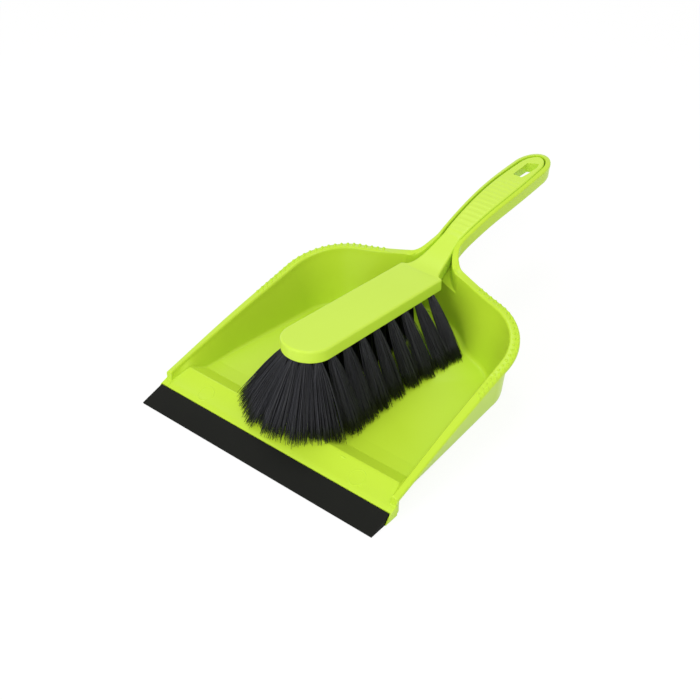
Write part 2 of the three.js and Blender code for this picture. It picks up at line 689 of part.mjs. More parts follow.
// ---------------------------------------------------------------- tufts
// Each tuft is a root on the block's underside, a direction, and the middle of its tip on the pan.
function tuftPlan() {
  const holeX = blockHalfWidth - rootInset;
  const list = [];
  const add = (x, y, tipX, tipY, tip) => list.push({
    root: new THREE.Vector3(x, y, brushUnderside(y)), tipX, tipY, ...tip,
  });
  const lean = (y) => -(y - noseCentreY) * forwardLean;
  for (const side of [1, -1]) {
    for (let i = 0; i < sideTufts; i += 1) {
      const y = noseCentreY + tuftsFromNose + i * tuftPitch;
      add(side * holeX, y, side * sideTipX, y + lean(y), sideTip);
    }
  }
  for (let i = 0; i < noseTufts; i += 1) {
    const angle = Math.PI * ((i + 0.75) / (noseTufts + 0.5)) + Math.PI;
    add(holeX * Math.cos(angle), noseCentreY + holeX * Math.sin(angle),
      noseTipSideways * Math.cos(angle),
      noseCentreY - noseTipBack + noseTipForward * Math.sin(angle), noseTip);
  }
  for (let i = 0; i < middleTufts; i += 1) {
    const y = noseCentreY + tuftsFromNose + (i + 0.5) * tuftPitch;
    add(0, y, 0, y + lean(y), middleTip);
  }
  return list;
}

const tuftTip = ({ tipX, tipY }) => new THREE.Vector3(tipX, tipY, panSurface(tipX, tipY) + tipClearance);

// Basis whose third axis is the tuft's own, and whose first points away from the middle of the brush.
function tuftFrame(tuft) {
  const axis = tuftTip(tuft).sub(tuft.root).normalize();
  const forward = tuft.root.y < noseCentreY ? tuft.tipY - noseCentreY : 0;
  const outward = new THREE.Vector3(tuft.tipX, forward, 0);
  if (outward.length() < 1) outward.set(1, 0, 0);
  const along = new THREE.Vector3().crossVectors(axis, outward).normalize();
  const across = new THREE.Vector3().crossVectors(along, axis).normalize();
  return { axis, along, across };
}

const tuftSides = 8;
function tuftGeometry(tuft) {
  const { axis, along, across } = tuftFrame(tuft);
  const inHole = holeDepth - anchorDepth - 2 * fit;
  const reach = tuft.root.distanceTo(tuftTip(tuft));
  const ring = (distance, a, b) => Array.from({ length: tuftSides }, (_, j) => {
    const angle = (2 * Math.PI * (j + 0.5)) / tuftSides;
    return tuft.root.clone().addScaledVector(axis, distance)
      .addScaledVector(across, a * Math.cos(angle)).addScaledVector(along, b * Math.sin(angle));
  });
  const grow = (t) => [blend(tuftRadius, tuft.halfAcross, t), blend(tuftRadius, tuft.halfAlong, t)];
  const rings = [ring(-inHole, tuftRadius, tuftRadius), ring(1, tuftRadius, tuftRadius),
    ring(reach * 0.5, ...grow(0.56))];
  // The tip is trimmed to the pan's surface, the clearance above it.
  rings.push(ring(reach, ...grow(1)).map((p) => {
    const target = panSurface(p.x, p.y) + tipClearance;
    const slide = (target - p.z) / axis.z;
    const trimmed = p.clone().addScaledVector(axis, slide);
    trimmed.z = panSurface(trimmed.x, trimmed.y) + tipClearance;
    return trimmed;
  }));
  const positions = rings.flat().flatMap((p) => [p.x, p.y, p.z]);
  const index = [];
  for (let k = 0; k < rings.length - 1; k += 1) {
    for (let j = 0; j < tuftSides; j += 1) {
      const a = k * tuftSides + j;
      const b = k * tuftSides + ((j + 1) % tuftSides);
      index.push(a, b, b + tuftSides, a, b + tuftSides, a + tuftSides);
    }
  }
  const end = (rings.length - 1) * tuftSides;
  for (let j = 1; j < tuftSides - 1; j += 1) {
    index.push(0, j + 1, j);
    index.push(end, end + j, end + j + 1);
  }
  const geometry = new THREE.BufferGeometry();
  geometry.setAttribute('position', new THREE.Float32BufferAttribute(positions, 3));
  geometry.setIndex(index);
  return geometry;
}

function placedAlong(tuft, geometry, distance) {
  const { axis, along, across } = tuftFrame(tuft);
  const matrix = new THREE.Matrix4().makeBasis(across, along, axis);
  matrix.setPosition(tuft.root.clone().addScaledVector(axis, distance));
  return geometry.applyMatrix4(matrix);
}

function tuftHole(tuft) {
  const past = 3;
  const cylinder = new THREE.CylinderGeometry(holeRadius, holeRadius, holeDepth + past, 10);
  cylinder.rotateX(Math.PI / 2);
  return solidOf(placedAlong(tuft, cylinder, (past - holeDepth) / 2));
}

// Flat wire that pins the folded tuft in the bottom of its hole, with chamfered ends.
function anchorGeometry(tuft) {
  const half = holeRadius - fit;
  const flat = half - 0.3;
  const deep = anchorDepth / 2;
  const shape = new THREE.Shape(
    [[-half, 0], [-flat, -deep], [flat, -deep], [half, 0], [flat, deep], [-flat, deep]]
      .map(([x, y]) => new THREE.Vector2(x, y)));
  const geometry = new THREE.ExtrudeGeometry(shape, { depth: anchorThickness, bevelEnabled: false });
  geometry.translate(0, 0, -anchorThickness / 2);
  geometry.rotateX(Math.PI / 2);
  return placedAlong(tuft, geometry, -holeDepth + fit + deep);
}

const tufts = tuftPlan();

function makeBrushBody() {
  let body = brushBlank();
  for (let y = neckY + ribsFromNeck; y <= slotStartY - ribsToSlot; y += ribPitch) {
    body = body.add(gripRib(y));
  }
  for (const tuft of tufts) body = body.subtract(tuftHole(tuft));
  return bodyOf(body.subtract(slotCutter(slotHalfWidth, slotStartY, slotEndY)));
}

// ---------------------------------------------------------------- assembly
function meshOf(name, geometry, finish) {
  const mesh = new THREE.Mesh(geometry, new THREE.MeshStandardMaterial(finish));
  mesh.name = name;
  return mesh;
}

const set = new THREE.Group();
set.add(meshOf('pan', geometryOf(makePan()), lime));
set.add(meshOf('rubber_lip', geometryOf(makeRubberLip()), blackRubber));
set.add(meshOf('brush_body', geometryOf(makeBrushBody()), limeBrush));
tufts.forEach((tuft, i) => {
  const number = String(i + 1).padStart(2, '0');
  set.add(meshOf(`tuft_${number}`, tuftGeometry(tuft), charcoalBristle));
  set.add(meshOf(`tuft_anchor_${number}`, anchorGeometry(tuft), steelWire));
});
set.position.set(0, -overallLength / 2, 0);
set.updateMatrixWorld(true);

export default set;
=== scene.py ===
import math
import random
import bmesh
import bpy
import numpy as np
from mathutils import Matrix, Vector


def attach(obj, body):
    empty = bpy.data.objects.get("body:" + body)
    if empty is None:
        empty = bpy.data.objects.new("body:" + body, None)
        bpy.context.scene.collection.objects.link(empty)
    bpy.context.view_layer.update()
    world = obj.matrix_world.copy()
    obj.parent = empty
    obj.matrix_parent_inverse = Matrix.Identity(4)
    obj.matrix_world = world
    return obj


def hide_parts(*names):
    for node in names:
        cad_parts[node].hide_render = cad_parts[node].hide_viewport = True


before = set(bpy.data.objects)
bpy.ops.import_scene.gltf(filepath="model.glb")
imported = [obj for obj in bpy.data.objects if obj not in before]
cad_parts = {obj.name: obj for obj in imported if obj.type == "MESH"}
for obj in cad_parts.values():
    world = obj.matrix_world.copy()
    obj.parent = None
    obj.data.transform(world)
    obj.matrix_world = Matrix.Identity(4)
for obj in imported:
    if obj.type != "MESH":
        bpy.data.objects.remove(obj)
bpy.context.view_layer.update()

# The shapes are worked out in millimetres, with y = 0 at the front of the rubber lip.
mm = 0.001
overallLength = 347
print("frame loaded:", len(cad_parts), "nodes")


def toLinear(hexColour):
    channels = [int(hexColour[i:i + 2], 16) / 255 for i in (1, 3, 5)]
    linear = [c / 12.92 if c <= 0.04045 else ((c + 0.055) / 1.055) ** 2.4 for c in channels]
    return (*linear, 1)


def newMaterial(name):
    material = bpy.data.materials.new(name)
    material.use_nodes = True
    material.node_tree.nodes.clear()
    return material


# An input is named by its socket, with _ for a space, or by its number, as in _0.
def addNode(owner, kind, settings=None, **inputs):
    node = owner.node_tree.nodes.new(kind)
    for key, value in (settings or {}).items():
        setattr(node, key, value)
    for key, value in inputs.items():
        socket = node.inputs[int(key[1:]) if key[0] == "_" and key[1:].isdigit() else key.replace("_", " ")]
        if isinstance(value, bpy.types.NodeSocket):
            owner.node_tree.links.new(value, socket)
        else:
            socket.default_value = value
    return node


# Injection-moulded polypropylene: low gloss, faint flow marks and sinks, and a spark-eroded grain that softens the
# highlights. The real grain is about 0.1 mm; it is drawn at 0.5 mm so that it shows. Sizes and depths are in mm.
panLook = {
    "name": "moulded polypropylene, pan", "colour": "#bedf32", "flowColour": "#c4e43a", "flowSize": 60,
    "grainSize": 0.5, "grainDepth": 0.05, "grainStrength": 0.06, "sinkSize": 25, "sinkDepth": 0.4,
    "sinkStrength": 0.08, "roughness": (0.26, 0.35), "specular": 0.26,
}
brushLook = {
    "name": "moulded polypropylene, brush", "colour": "#c4e342", "flowColour": "#c9e84a", "flowSize": 50,
    "grainSize": 0.5, "grainDepth": 0.05, "grainStrength": 0.1, "sinkSize": 25, "sinkDepth": 0.4,
    "sinkStrength": 0.1, "roughness": (0.29, 0.38), "specular": 0.3,
}


def mouldedPolypropylene(look):
    material = newMaterial(look["name"])
    place = addNode(material, "ShaderNodeTexCoord").outputs["Object"]
    flow = addNode(material, "ShaderNodeTexNoise", Vector=place, Scale=1 / (look["flowSize"] * mm), Detail=2.0)
    tint = addNode(material, "ShaderNodeMix", {"data_type": "RGBA"}, Factor=flow.outputs["Fac"],
                   _6=toLinear(look["colour"]), _7=toLinear(look["flowColour"]))
    grain = addNode(material, "ShaderNodeTexNoise", Vector=place, Scale=1 / (look["grainSize"] * mm), Detail=3.0)
    waves = addNode(material, "ShaderNodeTexNoise", Vector=place, Scale=1 / (look["sinkSize"] * mm), Detail=1.0)
    gloss = addNode(material, "ShaderNodeMapRange", Value=grain.outputs["Fac"], To_Min=look["roughness"][0],
                    To_Max=look["roughness"][1])
    soft = addNode(material, "ShaderNodeBump", Height=waves.outputs["Fac"], Strength=look["sinkStrength"],
                   Distance=look["sinkDepth"] * mm)
    fine = addNode(material, "ShaderNodeBump", Height=grain.outputs["Fac"], Strength=look["grainStrength"],
                   Distance=look["grainDepth"] * mm, Normal=soft.outputs["Normal"])
    shader = addNode(material, "ShaderNodeBsdfPrincipled", Base_Color=tint.outputs[2], IOR=1.49,
                     Roughness=gloss.outputs["Result"], Normal=fine.outputs["Normal"])
    shader.inputs["Specular IOR Level"].default_value = look["specular"]
    addNode(material, "ShaderNodeOutputMaterial", Surface=shader.outputs["BSDF"])
    return material


def blend(a, b, t):
    return a + (b - a) * min(max(t, 0), 1)


def lookUp(value, table):
    return float(np.interp(value, [row[0] for row in table], [row[1] for row in table]))


def hermite(startZ, startSlope, endZ, endSlope, span, t):
    return ((1 + 2 * t) * (1 - t) ** 2 * startZ + t * (1 - t) ** 2 * span * startSlope
            + t * t * (3 - 2 * t) * endZ + t * t * (t - 1) * span * endSlope)


# Rising curve through (y, z) points that never overshoots them.
def smoothHeight(points, y):
    last = len(points) - 1
    if y <= points[0][0]:
        return points[0][1]
    if y >= points[last][0]:
        return points[last][1]
    i = next(k for k, p in enumerate(points) if p[0] > y) - 1

    def secant(k):
        return (points[k + 1][1] - points[k][1]) / (points[k + 1][0] - points[k][0])

    def slopeAt(k):
        if k == 0:
            return secant(0)
        if k == last:
            return secant(last - 1)
        before, after = secant(k - 1), secant(k)
        return 0 if before * after <= 0 else 2 * before * after / (before + after)

    span = points[i + 1][0] - points[i][0]
    t = (y - points[i][0]) / span
    return hermite(points[i][1], slopeAt(i), points[i + 1][1], slopeAt(i + 1), span, t)


def roundedCorner(a, b, c, radius, count):
    a, b, c = Vector(a), Vector(b), Vector(c)
    u, v = (a - b).normalized(), (c - b).normalized()
    half = math.acos(max(-1, min(1, u.dot(v)))) / 2
    centre = b + (u + v).normalized() * (radius / math.sin(half))
    start = b + u * (radius / math.tan(half)) - centre
    end = b + v * (radius / math.tan(half)) - centre
    first = math.atan2(start.y, start.x)
    turn = (math.atan2(end.y, end.x) - first + math.pi) % (2 * math.pi) - math.pi
    return [(centre.x + radius * math.cos(first + turn * k / (count - 1)),
             centre.y + radius * math.sin(first + turn * k / (count - 1))) for k in range(count)]


def along(a, b, count):
    return [tuple(Vector(a).lerp(Vector(b), (k + 1) / (count + 1))) for k in range(count)]


# Rounds the corners of a closed section; radii has one radius for each corner.
def roundSection(points, radii, steps=5):
    section = []
    for k, point in enumerate(points):
        radius = radii[k] if isinstance(radii, (list, tuple)) else radii
        if radius == 0:
            section.append(tuple(point))
            continue
        section += roundedCorner(points[k - 1], point, points[(k + 1) % len(points)], radius, steps)
    return section


rim = {
    "frontY": 24, "frontHalfWidth": 101.7, "corner": (98.5, 185.8), "cornerRadius": 46.7,
    "neck": (10.1, 207.3), "neckRadius": 17.6, "knee": (15.0, 290), "kneeRadius": 500,
    "endHalfWidth": 14.1, "endLength": 22, "backBendRadius": 60,
    "heights": [(24, 12.9), (85, 27.6), (146, 39.9), (175, 45.9), (196.55, 52.0), (215, 67.3),
                (232, 72.9), (262.4, 79.0), (290, 82.1), (347, 85.7)],
    "rolledEdge": 2.8, "flangeThickness": 2.1, "wall": 2.0, "fit": 0.3,
    "flangeFront": 4.8, "flangeSide": 7.6, "flangeGrip": 2.6, "flangeEnd": 4.4,
    "flangeWidths": [(20, 7.6), (24, 6.8), (28, 5.4), (32, 4.0), (36, 2.6)],
    "flangeLift": 1.3, "flangeDip": 3.3, "flangeRecovery": 2.8,
}
# How far the walls lean in from the rim to the foot, inside and outside.
lean = {"front": 0.4, "step": 5, "side": 11, "sideFrom": 80, "backLoss": 9.6, "outerFront": -6.35,
        "outerSide": 2.6, "outerBack": 0.8, "outerRun": 11}
floor = {
    "lipWidth": 202, "lipDepth": 18.6, "lipEdge": 1.0, "lipBack": 6.0, "rampSlope": math.tan(math.radians(17)),
    "rampEnd": 39, "stepFoot": 51.5, "height": 5.2, "stepHeight": 6.0, "floorRun": 12,
    "scoopY": 202, "scoopRadius": 79, "scoopSlope": math.tan(math.radians(7)), "standingEdge": 2.2,
    "tongueStart": 11.5, "tongueThickness": 1.5, "tongueCover": 1.3,
}
brush = {
    "skirtDepth": 12.2, "nestGap": 0.8, "handleDepth": 10.3, "proud": 0.4, "halfWidth": 18.3,
    "noseY": 60.8, "shoulderY": 185, "thickness": 9.5, "topAtNose": 69.8, "slope": -0.093,
    "neckHalfWidth": 15.0, "riseFrom": 183, "riseTo": 232, "neckLength": 30,
    "ribFirst": 222, "ribPitch": 5.35, "ribCount": 15, "ribWidth": 3.4, "ribHeight": 0.2, "ribBow": 0.6,
    "ribMargin": 1.4, "ribFade": 1.2, "ribSquareness": 2.2, "ribRows": 0.6, "ribsEnd": 300,
    "topRadius": 1.5, "bottomRadius": 0.9, "cornerRadius": 2.0,
    "neckPull": (-4.2, 4), "gripPull": (1.2, -12),
}


# Hanging hole near the handle's end. The brush is hollowed from below around it.
hangHole = {
    "brush": [(-3.6, 307.4), (4.2, 307.2), (5.4, 313.6), (6.4, 326.0), (4.9, 331.6), (-3.3, 327.8)],
    "pocket": [(-6.6, 305), (6.0, 305), (5.8, 333), (-6.6, 333)], "pocketTop": -6.0,
    "pan": [(-8.8, 309.5), (8.8, 309.5), (7.8, 336.5), (-7.8, 336.5)],
}


def rimHeight(y):
    return smoothHeight(rim["heights"], y)


def blockTop(y):
    return brush["topAtNose"] + brush["slope"] * (y - brush["noseY"])


def brushTop(y):
    start, end = brush["riseFrom"], brush["riseTo"]
    if y <= start:
        return blockTop(y)
    if y >= end:
        return rimHeight(y) + brush["proud"]
    endSlope = (rimHeight(end + 1) - rimHeight(end - 1)) / 2
    return hermite(blockTop(start), brush["slope"], rimHeight(end) + brush["proud"], endSlope, end - start,
                   (y - start) / (end - start))


def brushUnderside(y):
    share = (y - brush["shoulderY"]) / brush["neckLength"]
    return brushTop(y) - blend(brush["thickness"], brush["handleDepth"], share)


def troughFloor(y):
    return min(brushUnderside(y) - rim["fit"], rimHeight(y) - brush["skirtDepth"] + rim["wall"])


# Right half of the rim's outline. Each point carries a station number that the width tables are read by: 0 to 8
# along the side, 8 to 20 round the rear corner, 24 to 36 round the neck, 41 to 44 at the knee, and 47 to 57 round
# the handle's end.
def rimOutline():
    front = (rim["frontHalfWidth"], rim["frontY"])
    end = (rim["endHalfWidth"], overallLength - rim["endLength"])
    corner = roundedCorner(front, rim["corner"], rim["neck"], rim["cornerRadius"], 46)
    neck = roundedCorner(rim["corner"], rim["neck"], rim["knee"], rim["neckRadius"], 40)
    knee = roundedCorner(rim["neck"], rim["knee"], end, rim["kneeRadius"], 12)
    steps = 26
    tip = [(rim["endHalfWidth"] * math.cos(math.pi / 2 * k / steps),
            overallLength - rim["endLength"] * (1 - math.sin(math.pi / 2 * k / steps))) for k in range(steps)]
    runs = [([front] + along(front, corner[0], 40), 0, 8 * 40 / 41), (corner, 8, 20),
            (along(corner[-1], neck[0], 14), 20 + 4 / 15, 24 - 4 / 15), (neck, 24, 36),
            (along(neck[-1], knee[0], 30), 36.1, 40.9), (knee, 41, 44), (along(knee[-1], tip[0], 16), 44.1, 46.9),
            (tip, 47, 56.6), ([(0, overallLength)], 57, 57)]
    outline = []
    for points, first, last in runs:
        for k, (x, y) in enumerate(points):
            outline.append((x, y, first + (last - first) * k / max(len(points) - 1, 1)))
    return outline, corner[0][1], neck


rimHalf, cornerStartY, neckCurve = rimOutline()
backSlope = (rim["neck"][1] - rim["corner"][1]) / (rim["corner"][0] - rim["neck"][0])
backMiddle = (0, rim["neck"][1] + backSlope * rim["neck"][0])
neckMirrored = (-neckCurve[0][0], neckCurve[0][1])
backBend = roundedCorner(neckCurve[0], backMiddle, neckMirrored, rim["backBendRadius"], 25)[:13]
bowlHalf = [p for p in rimHalf if p[2] < 23.99]
bowlHalf += [(0 if k == 12 else x, y, 24 + 3 * k / 12) for k, (x, y) in enumerate(backBend)]


def inwardNormals(outline):
    points = np.array([p[:2] for p in outline])
    tangent = np.zeros_like(points)
    tangent[1:-1] = points[2:] - points[:-2]
    tangent[0], tangent[-1] = points[1] - points[0], points[-1] - points[-2]
    tangent /= np.linalg.norm(tangent, axis=1)[:, None]
    normal = np.stack([-tangent[:, 1], tangent[:, 0]], 1)
    if abs(points[0, 0]) < 1e-6:
        normal[0] = (0, 1)
    if abs(points[-1, 0]) < 1e-6:
        normal[-1] = (0, -1)
    return normal


# Ring of a loft: the outline moved in by inset(station, y), at height(x, y, station, y before the move).
def ringOf(outline, inset, height):
    normals = inwardNormals(outline)
    ring = []
    for (x, y, s), normal in zip(outline, normals):
        move = inset(s, y)
        px, py = max(x + normal[0] * move, 0), y + normal[1] * move
        ring.append((px, py, height(px, py, s, y)))
    return ring


def flangeWidth(s, y):
    if s < 8:
        return blend(rim["flangeFront"], rim["flangeSide"], (y - rim["frontY"]) / (cornerStartY - rim["frontY"]))
    if s < 37:
        return lookUp(s, rim["flangeWidths"])
    share = (y - neckCurve[-1][1]) / (overallLength - neckCurve[-1][1])
    return blend(rim["flangeGrip"], rim["flangeEnd"], share ** 3)


# How much higher the flange's inner edge stands than its outer one; it dips beside the neck.
def flangeRise(s):
    t = min(max((s - 21) / 5, 0), 1)
    u = min(max((s - 26) / 6, 0), 1)
    return rim["flangeLift"] - rim["flangeDip"] * t * t * (3 - 2 * t) + rim["flangeRecovery"] * u * u * (3 - 2 * u)


def innerLean(s, y):
    if s < 8 and y < floor["stepFoot"]:
        return blend(lean["front"], lean["step"], (y - rim["frontY"]) / (floor["stepFoot"] - rim["frontY"]))
    if s < 8:
        return blend(lean["step"], lean["side"], (y - lean["sideFrom"]) / (cornerStartY - lean["sideFrom"]))
    t = min(max((s - 20.5) / 3.5, 0), 1)
    return lean["side"] - lean["backLoss"] * t * t * (3 - 2 * t)


# 0 at the pan's front corners and 1 where its sides have their full form.
def frontShare(y):
    return (y - rim["frontY"] - 0.6) / lean["outerRun"]


def outerLean(s, y):
    if s < 8:
        return blend(lean["outerFront"], lean["outerSide"], frontShare(y))
    return lookUp(s, [(8, lean["outerSide"]), (16, lean["outerBack"])])


def rampHeight(y):
    return floor["lipBack"] + (y - floor["lipDepth"]) * floor["rampSlope"]


def lipTop(y):
    return blend(floor["lipEdge"], floor["lipBack"], y / floor["lipDepth"])


def floorAt(y):
    if y <= floor["rampEnd"]:
        return rampHeight(y)
    if y <= floor["stepFoot"]:
        return blend(rampHeight(floor["rampEnd"]), floor["stepHeight"],
                     (y - floor["rampEnd"]) / (floor["stepFoot"] - floor["rampEnd"]))
    return blend(floor["stepHeight"], floor["height"], (y - floor["stepFoot"]) / floor["floorRun"])


def panSurface(x, y):
    reach = math.hypot(x, y - floor["scoopY"])
    return floorAt(y) + max(0, floor["scoopRadius"] - reach) * floor["scoopSlope"]


def meshObject(name, points, faces):
    data = bpy.data.meshes.new(name)
    data.from_pydata([(x * mm, (y - overallLength / 2) * mm, z * mm) for x, y, z in points], [], faces)
    data.validate()
    obj = bpy.data.objects.new(name, data)
    bpy.context.scene.collection.objects.link(obj)
    return obj


def withBmesh(obj, work):
    bm = bmesh.new()
    bm.from_mesh(obj.data)
    work(bm)
    bm.to_mesh(obj.data)
    bm.free()
    return obj


# Faces of a closed tube through rings of equal length; with two rings it is a prism.
def tubeFaces(rings, sides, base=0):
    faces = []
    for k in range(rings - 1):
        for j in range(sides):
            a, b = base + k * sides + j, base + k * sides + (j + 1) % sides
            faces.append((a, b, b + sides, a + sides))
    last = base + (rings - 1) * sides
    return faces + [tuple(range(base, base + sides))[::-1], tuple(range(last, last + sides))]


# Faces of a dome: its rings from the foot up, then its top point and the middle of its underside.
def domeFaces(rings, turns, base):
    top, faces = base + rings * turns, []
    for k in range(turns):
        n = (k + 1) % turns
        faces += [(base + j * turns + k, base + j * turns + n, base + (j + 1) * turns + n,
                   base + (j + 1) * turns + k) for j in range(rings - 1)]
        faces += [(top - turns + k, top - turns + n, top), (base + n, base + k, top + 1)]
    return faces


# Closed solid through mirrored half rings, lowest first. The caps are rows of faces across from right to left,
# and capHeight can shape the top one.
def loftHalves(name, rings, columns=2, capHeight=None):
    half = len(rings[0])
    onPlane = [abs(rings[0][i][0]) < 1e-7 and i in (0, half - 1) for i in range(half)]
    order = [i for i in range(half - 1, -1, -1) if not onPlane[i]]
    left = {i: half + k for k, i in enumerate(order)}
    count = half + len(order)
    points, faces = [], []
    for ring in rings:
        points += [tuple(p) for p in ring] + [(-ring[i][0], ring[i][1], ring[i][2]) for i in order]
    closing = {True: [], False: []}
    for base, top in (((len(rings) - 1) * count, True), (0, False)):
        rows = []
        for i in range(half):
            right = base + i
            if onPlane[i]:
                rows.append([right] * (columns + 1))
                continue
            row = [right]
            for c in range(1, columns):
                a, b = Vector(points[right]), Vector(points[base + left[i]])
                p = a.lerp(b, c / columns)
                if top and capHeight:
                    p.z = capHeight(p.x, p.y, p.z)
                row.append(len(points))
                points.append(tuple(p))
            rows.append(row + [base + left[i]])
        if not onPlane[0]:
            closing[top] = rows[0][1:-1]
        for i in range(half - 1):
            for c in range(columns):
                quad = [rows[i][c], rows[i + 1][c], rows[i + 1][c + 1], rows[i][c + 1]]
                corners = [v for n, v in enumerate(quad) if v not in quad[:n]]
                if len(corners) > 2:
                    faces.append(tuple(corners if top else corners[::-1]))
    for k in range(len(rings) - 1):
        for i in range(count):
            a, b = k * count + i, k * count + (i + 1) % count
            under = closing[False][::-1] if i == count - 1 and k == 0 else []
            over = closing[True] if i == count - 1 and k == len(rings) - 2 else []
            faces.append((a, *under, b, b + count, *over, a + count))
    return meshObject(name, points, faces)


def mixRings(a, b, steps):
    return [[tuple(Vector(p).lerp(Vector(q), (k + 1) / (steps + 1))) for p, q in zip(a, b)] for k in range(steps)]


# Bar along X with a closed (y, z) section.
def barAcross(name, section, halfWidth, cells=1):
    area = sum(a[0] * b[1] - b[0] * a[1] for a, b in zip(section, section[1:] + section[:1]))
    section = section if area > 0 else section[::-1]
    points = []
    for k in range(cells + 1):
        x = -halfWidth + 2 * halfWidth * k / cells
        points += [(x, y, z) for y, z in section]
    return meshObject(name, points, tubeFaces(cells + 1, len(section)))


def combine(body, tool, operation):
    cut = body.modifiers.new("cut", "BOOLEAN")
    cut.operation = operation
    cut.solver = "MANIFOLD"
    cut.object = tool
    applyModifiers(body)
    bpy.data.objects.remove(tool)
    return body


def applyModifiers(obj):
    graph = bpy.context.evaluated_depsgraph_get()
    graph.update()
    data = bpy.data.meshes.new_from_object(obj.evaluated_get(graph))
    old = obj.data
    obj.modifiers.clear()
    obj.data = data
    data.name = obj.name
    bpy.data.meshes.remove(old)


def keepLargest(obj):
    def work(bm):
        unseen, islands = set(bm.verts), []
        while unseen:
            stack, island = [unseen.pop()], []
            while stack:
                vert = stack.pop()
                island.append(vert)
                for edge in vert.link_edges:
                    other = edge.other_vert(vert)
                    if other in unseen:
                        unseen.remove(other)
                        stack.append(other)
            islands.append(island)
        islands.sort(key=len)
        bmesh.ops.delete(bm, geom=[v for island in islands[:-1] for v in island], context="VERTS")
    return withBmesh(obj, work)


# Drops needle-thin leftovers of the cuts, then shades smooth across every edge softer than the angle.
def finish(obj, material, angle=35, body="pan"):
    withBmesh(obj, lambda bm: bmesh.ops.dissolve_degenerate(bm, dist=0.004 * mm, edges=bm.edges))
    obj.data.shade_smooth()
    obj.data.set_sharp_from_angle(angle=math.radians(angle))
    obj.data.materials.clear()
    obj.data.materials.append(material)
    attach(obj, body)
    return obj


# The bowl's roundings: its foot outside, the fillet round its floor, and the inner edge of its rim.
bowl = {"footIn": 1.6, "footUp": 1.4, "footTop": 2.6, "earSkin": 0.08, "underRim": 0.5, "edgeRadius": 2.3,
        "filletFront": 0.8, "filletBack": 2.6, "filletRun": 60, "bottomEdge": 3}
beyond = 40    # how far the cutting shapes reach past the pan
fit, wall = rim["fit"], rim["wall"]


def panBowlOuter():
    def foot(extra):
        return lambda s, y: flangeWidth(s, y) + outerLean(s, y) + extra

    def underFlange(s, y):
        return blend(bowl["earSkin"], flangeWidth(s, y) - wall, frontShare(y))

    inward, upward = bowl["footIn"], bowl["footUp"]
    rings = [ringOf(bowlHalf, foot(inward - inward * math.sin(a)),
                    lambda x, y, s, y0, a=a: upward - upward * math.cos(a)) for a in (0, 0.4, 0.8, 1.2)]
    rings.append(ringOf(bowlHalf, foot(-0.2), lambda x, y, s, y0: bowl["footTop"]))
    top = ringOf(bowlHalf, underFlange, lambda x, y, s, y0: rimHeight(y0) - bowl["underRim"])
    rings += mixRings(rings[-1], top, 5) + [top]
    for ring in rings:
        ring[0] = (min(ring[0][0], rim["frontHalfWidth"] - cheek["inset"]), floor["lipDepth"] + fit, ring[0][2])
    return loftHalves("bowl", rings, 12)


# Space inside the bowl, or with grow the same space with its walls and floor moved out by that much.
def panCavity(grow):
    edge = bowl["edgeRadius"]

    def inset(extra):
        return lambda s, y: flangeWidth(s, y) + extra - grow

    def leaning(up, extra):
        return lambda s, y: flangeWidth(s, y) + innerLean(s, y) * (1 - up / 40) + extra - grow

    def aboveFloor(up):
        return lambda x, y, s, y0: panSurface(x, max(y, rim["frontY"])) - grow + up

    def overRim(up):
        return lambda x, y, s, y0: rimHeight(y0) + rim["flangeLift"] + up

    def fillet(y):
        return blend(bowl["filletFront"], bowl["filletBack"], (y - rim["frontY"]) / bowl["filletRun"])

    def filletInset(a):
        return lambda s, y: leaning(fillet(y) * (1 - math.cos(a)), fillet(y) * (1 - math.sin(a)))(s, y)

    def filletHeight(a):
        return lambda x, y, s, y0: aboveFloor(fillet(y) * (1 - math.cos(a)) - 0.08)(x, y, s, y0)

    rings = [ringOf(bowlHalf, leaning(0, 4), lambda x, y, s, y0: -beyond)]
    rings += [ringOf(bowlHalf, filletInset(a), filletHeight(a))
              for a in (math.radians(10 + 80 * k / 6) for k in range(7))]
    top = ringOf(bowlHalf, inset(0), overRim(-edge))
    rings += mixRings(rings[-1], top, 6) + [top]
    for degrees in (12, 24, 36, 48, 60, 70):
        a = math.radians(degrees)
        rings.append(ringOf(bowlHalf, inset(-edge * (1 - math.cos(a))), overRim(-edge + edge * math.sin(a))))
    rings.append(ringOf(bowlHalf, inset(-edge * 0.68), overRim(beyond)))
    rings = [[(ring[0][0], -beyond, ring[0][2])] + ring for ring in rings]
    cavity = loftHalves("cavity", rings, 12)
    combine(cavity, belowFloor(grow), "DIFFERENCE")
    return combine(cavity, scoop(grow), "DIFFERENCE")


def belowFloor(drop):
    ramp, foot = floor["rampEnd"], floor["stepFoot"]
    line = [(-beyond, rampHeight(-beyond)), (ramp, rampHeight(ramp)), (foot, floor["stepHeight"]),
            (foot + floor["floorRun"], floor["height"]), (overallLength, floor["height"])]
    line = [(y, z - drop) for y, z in line]
    section = [(-beyond, -beyond)] + line + [(overallLength, -beyond)]
    return barAcross("belowFloor", roundSection(section, [0, 0, 2.2, 3.5, 20, 0, 0], 9), 140)


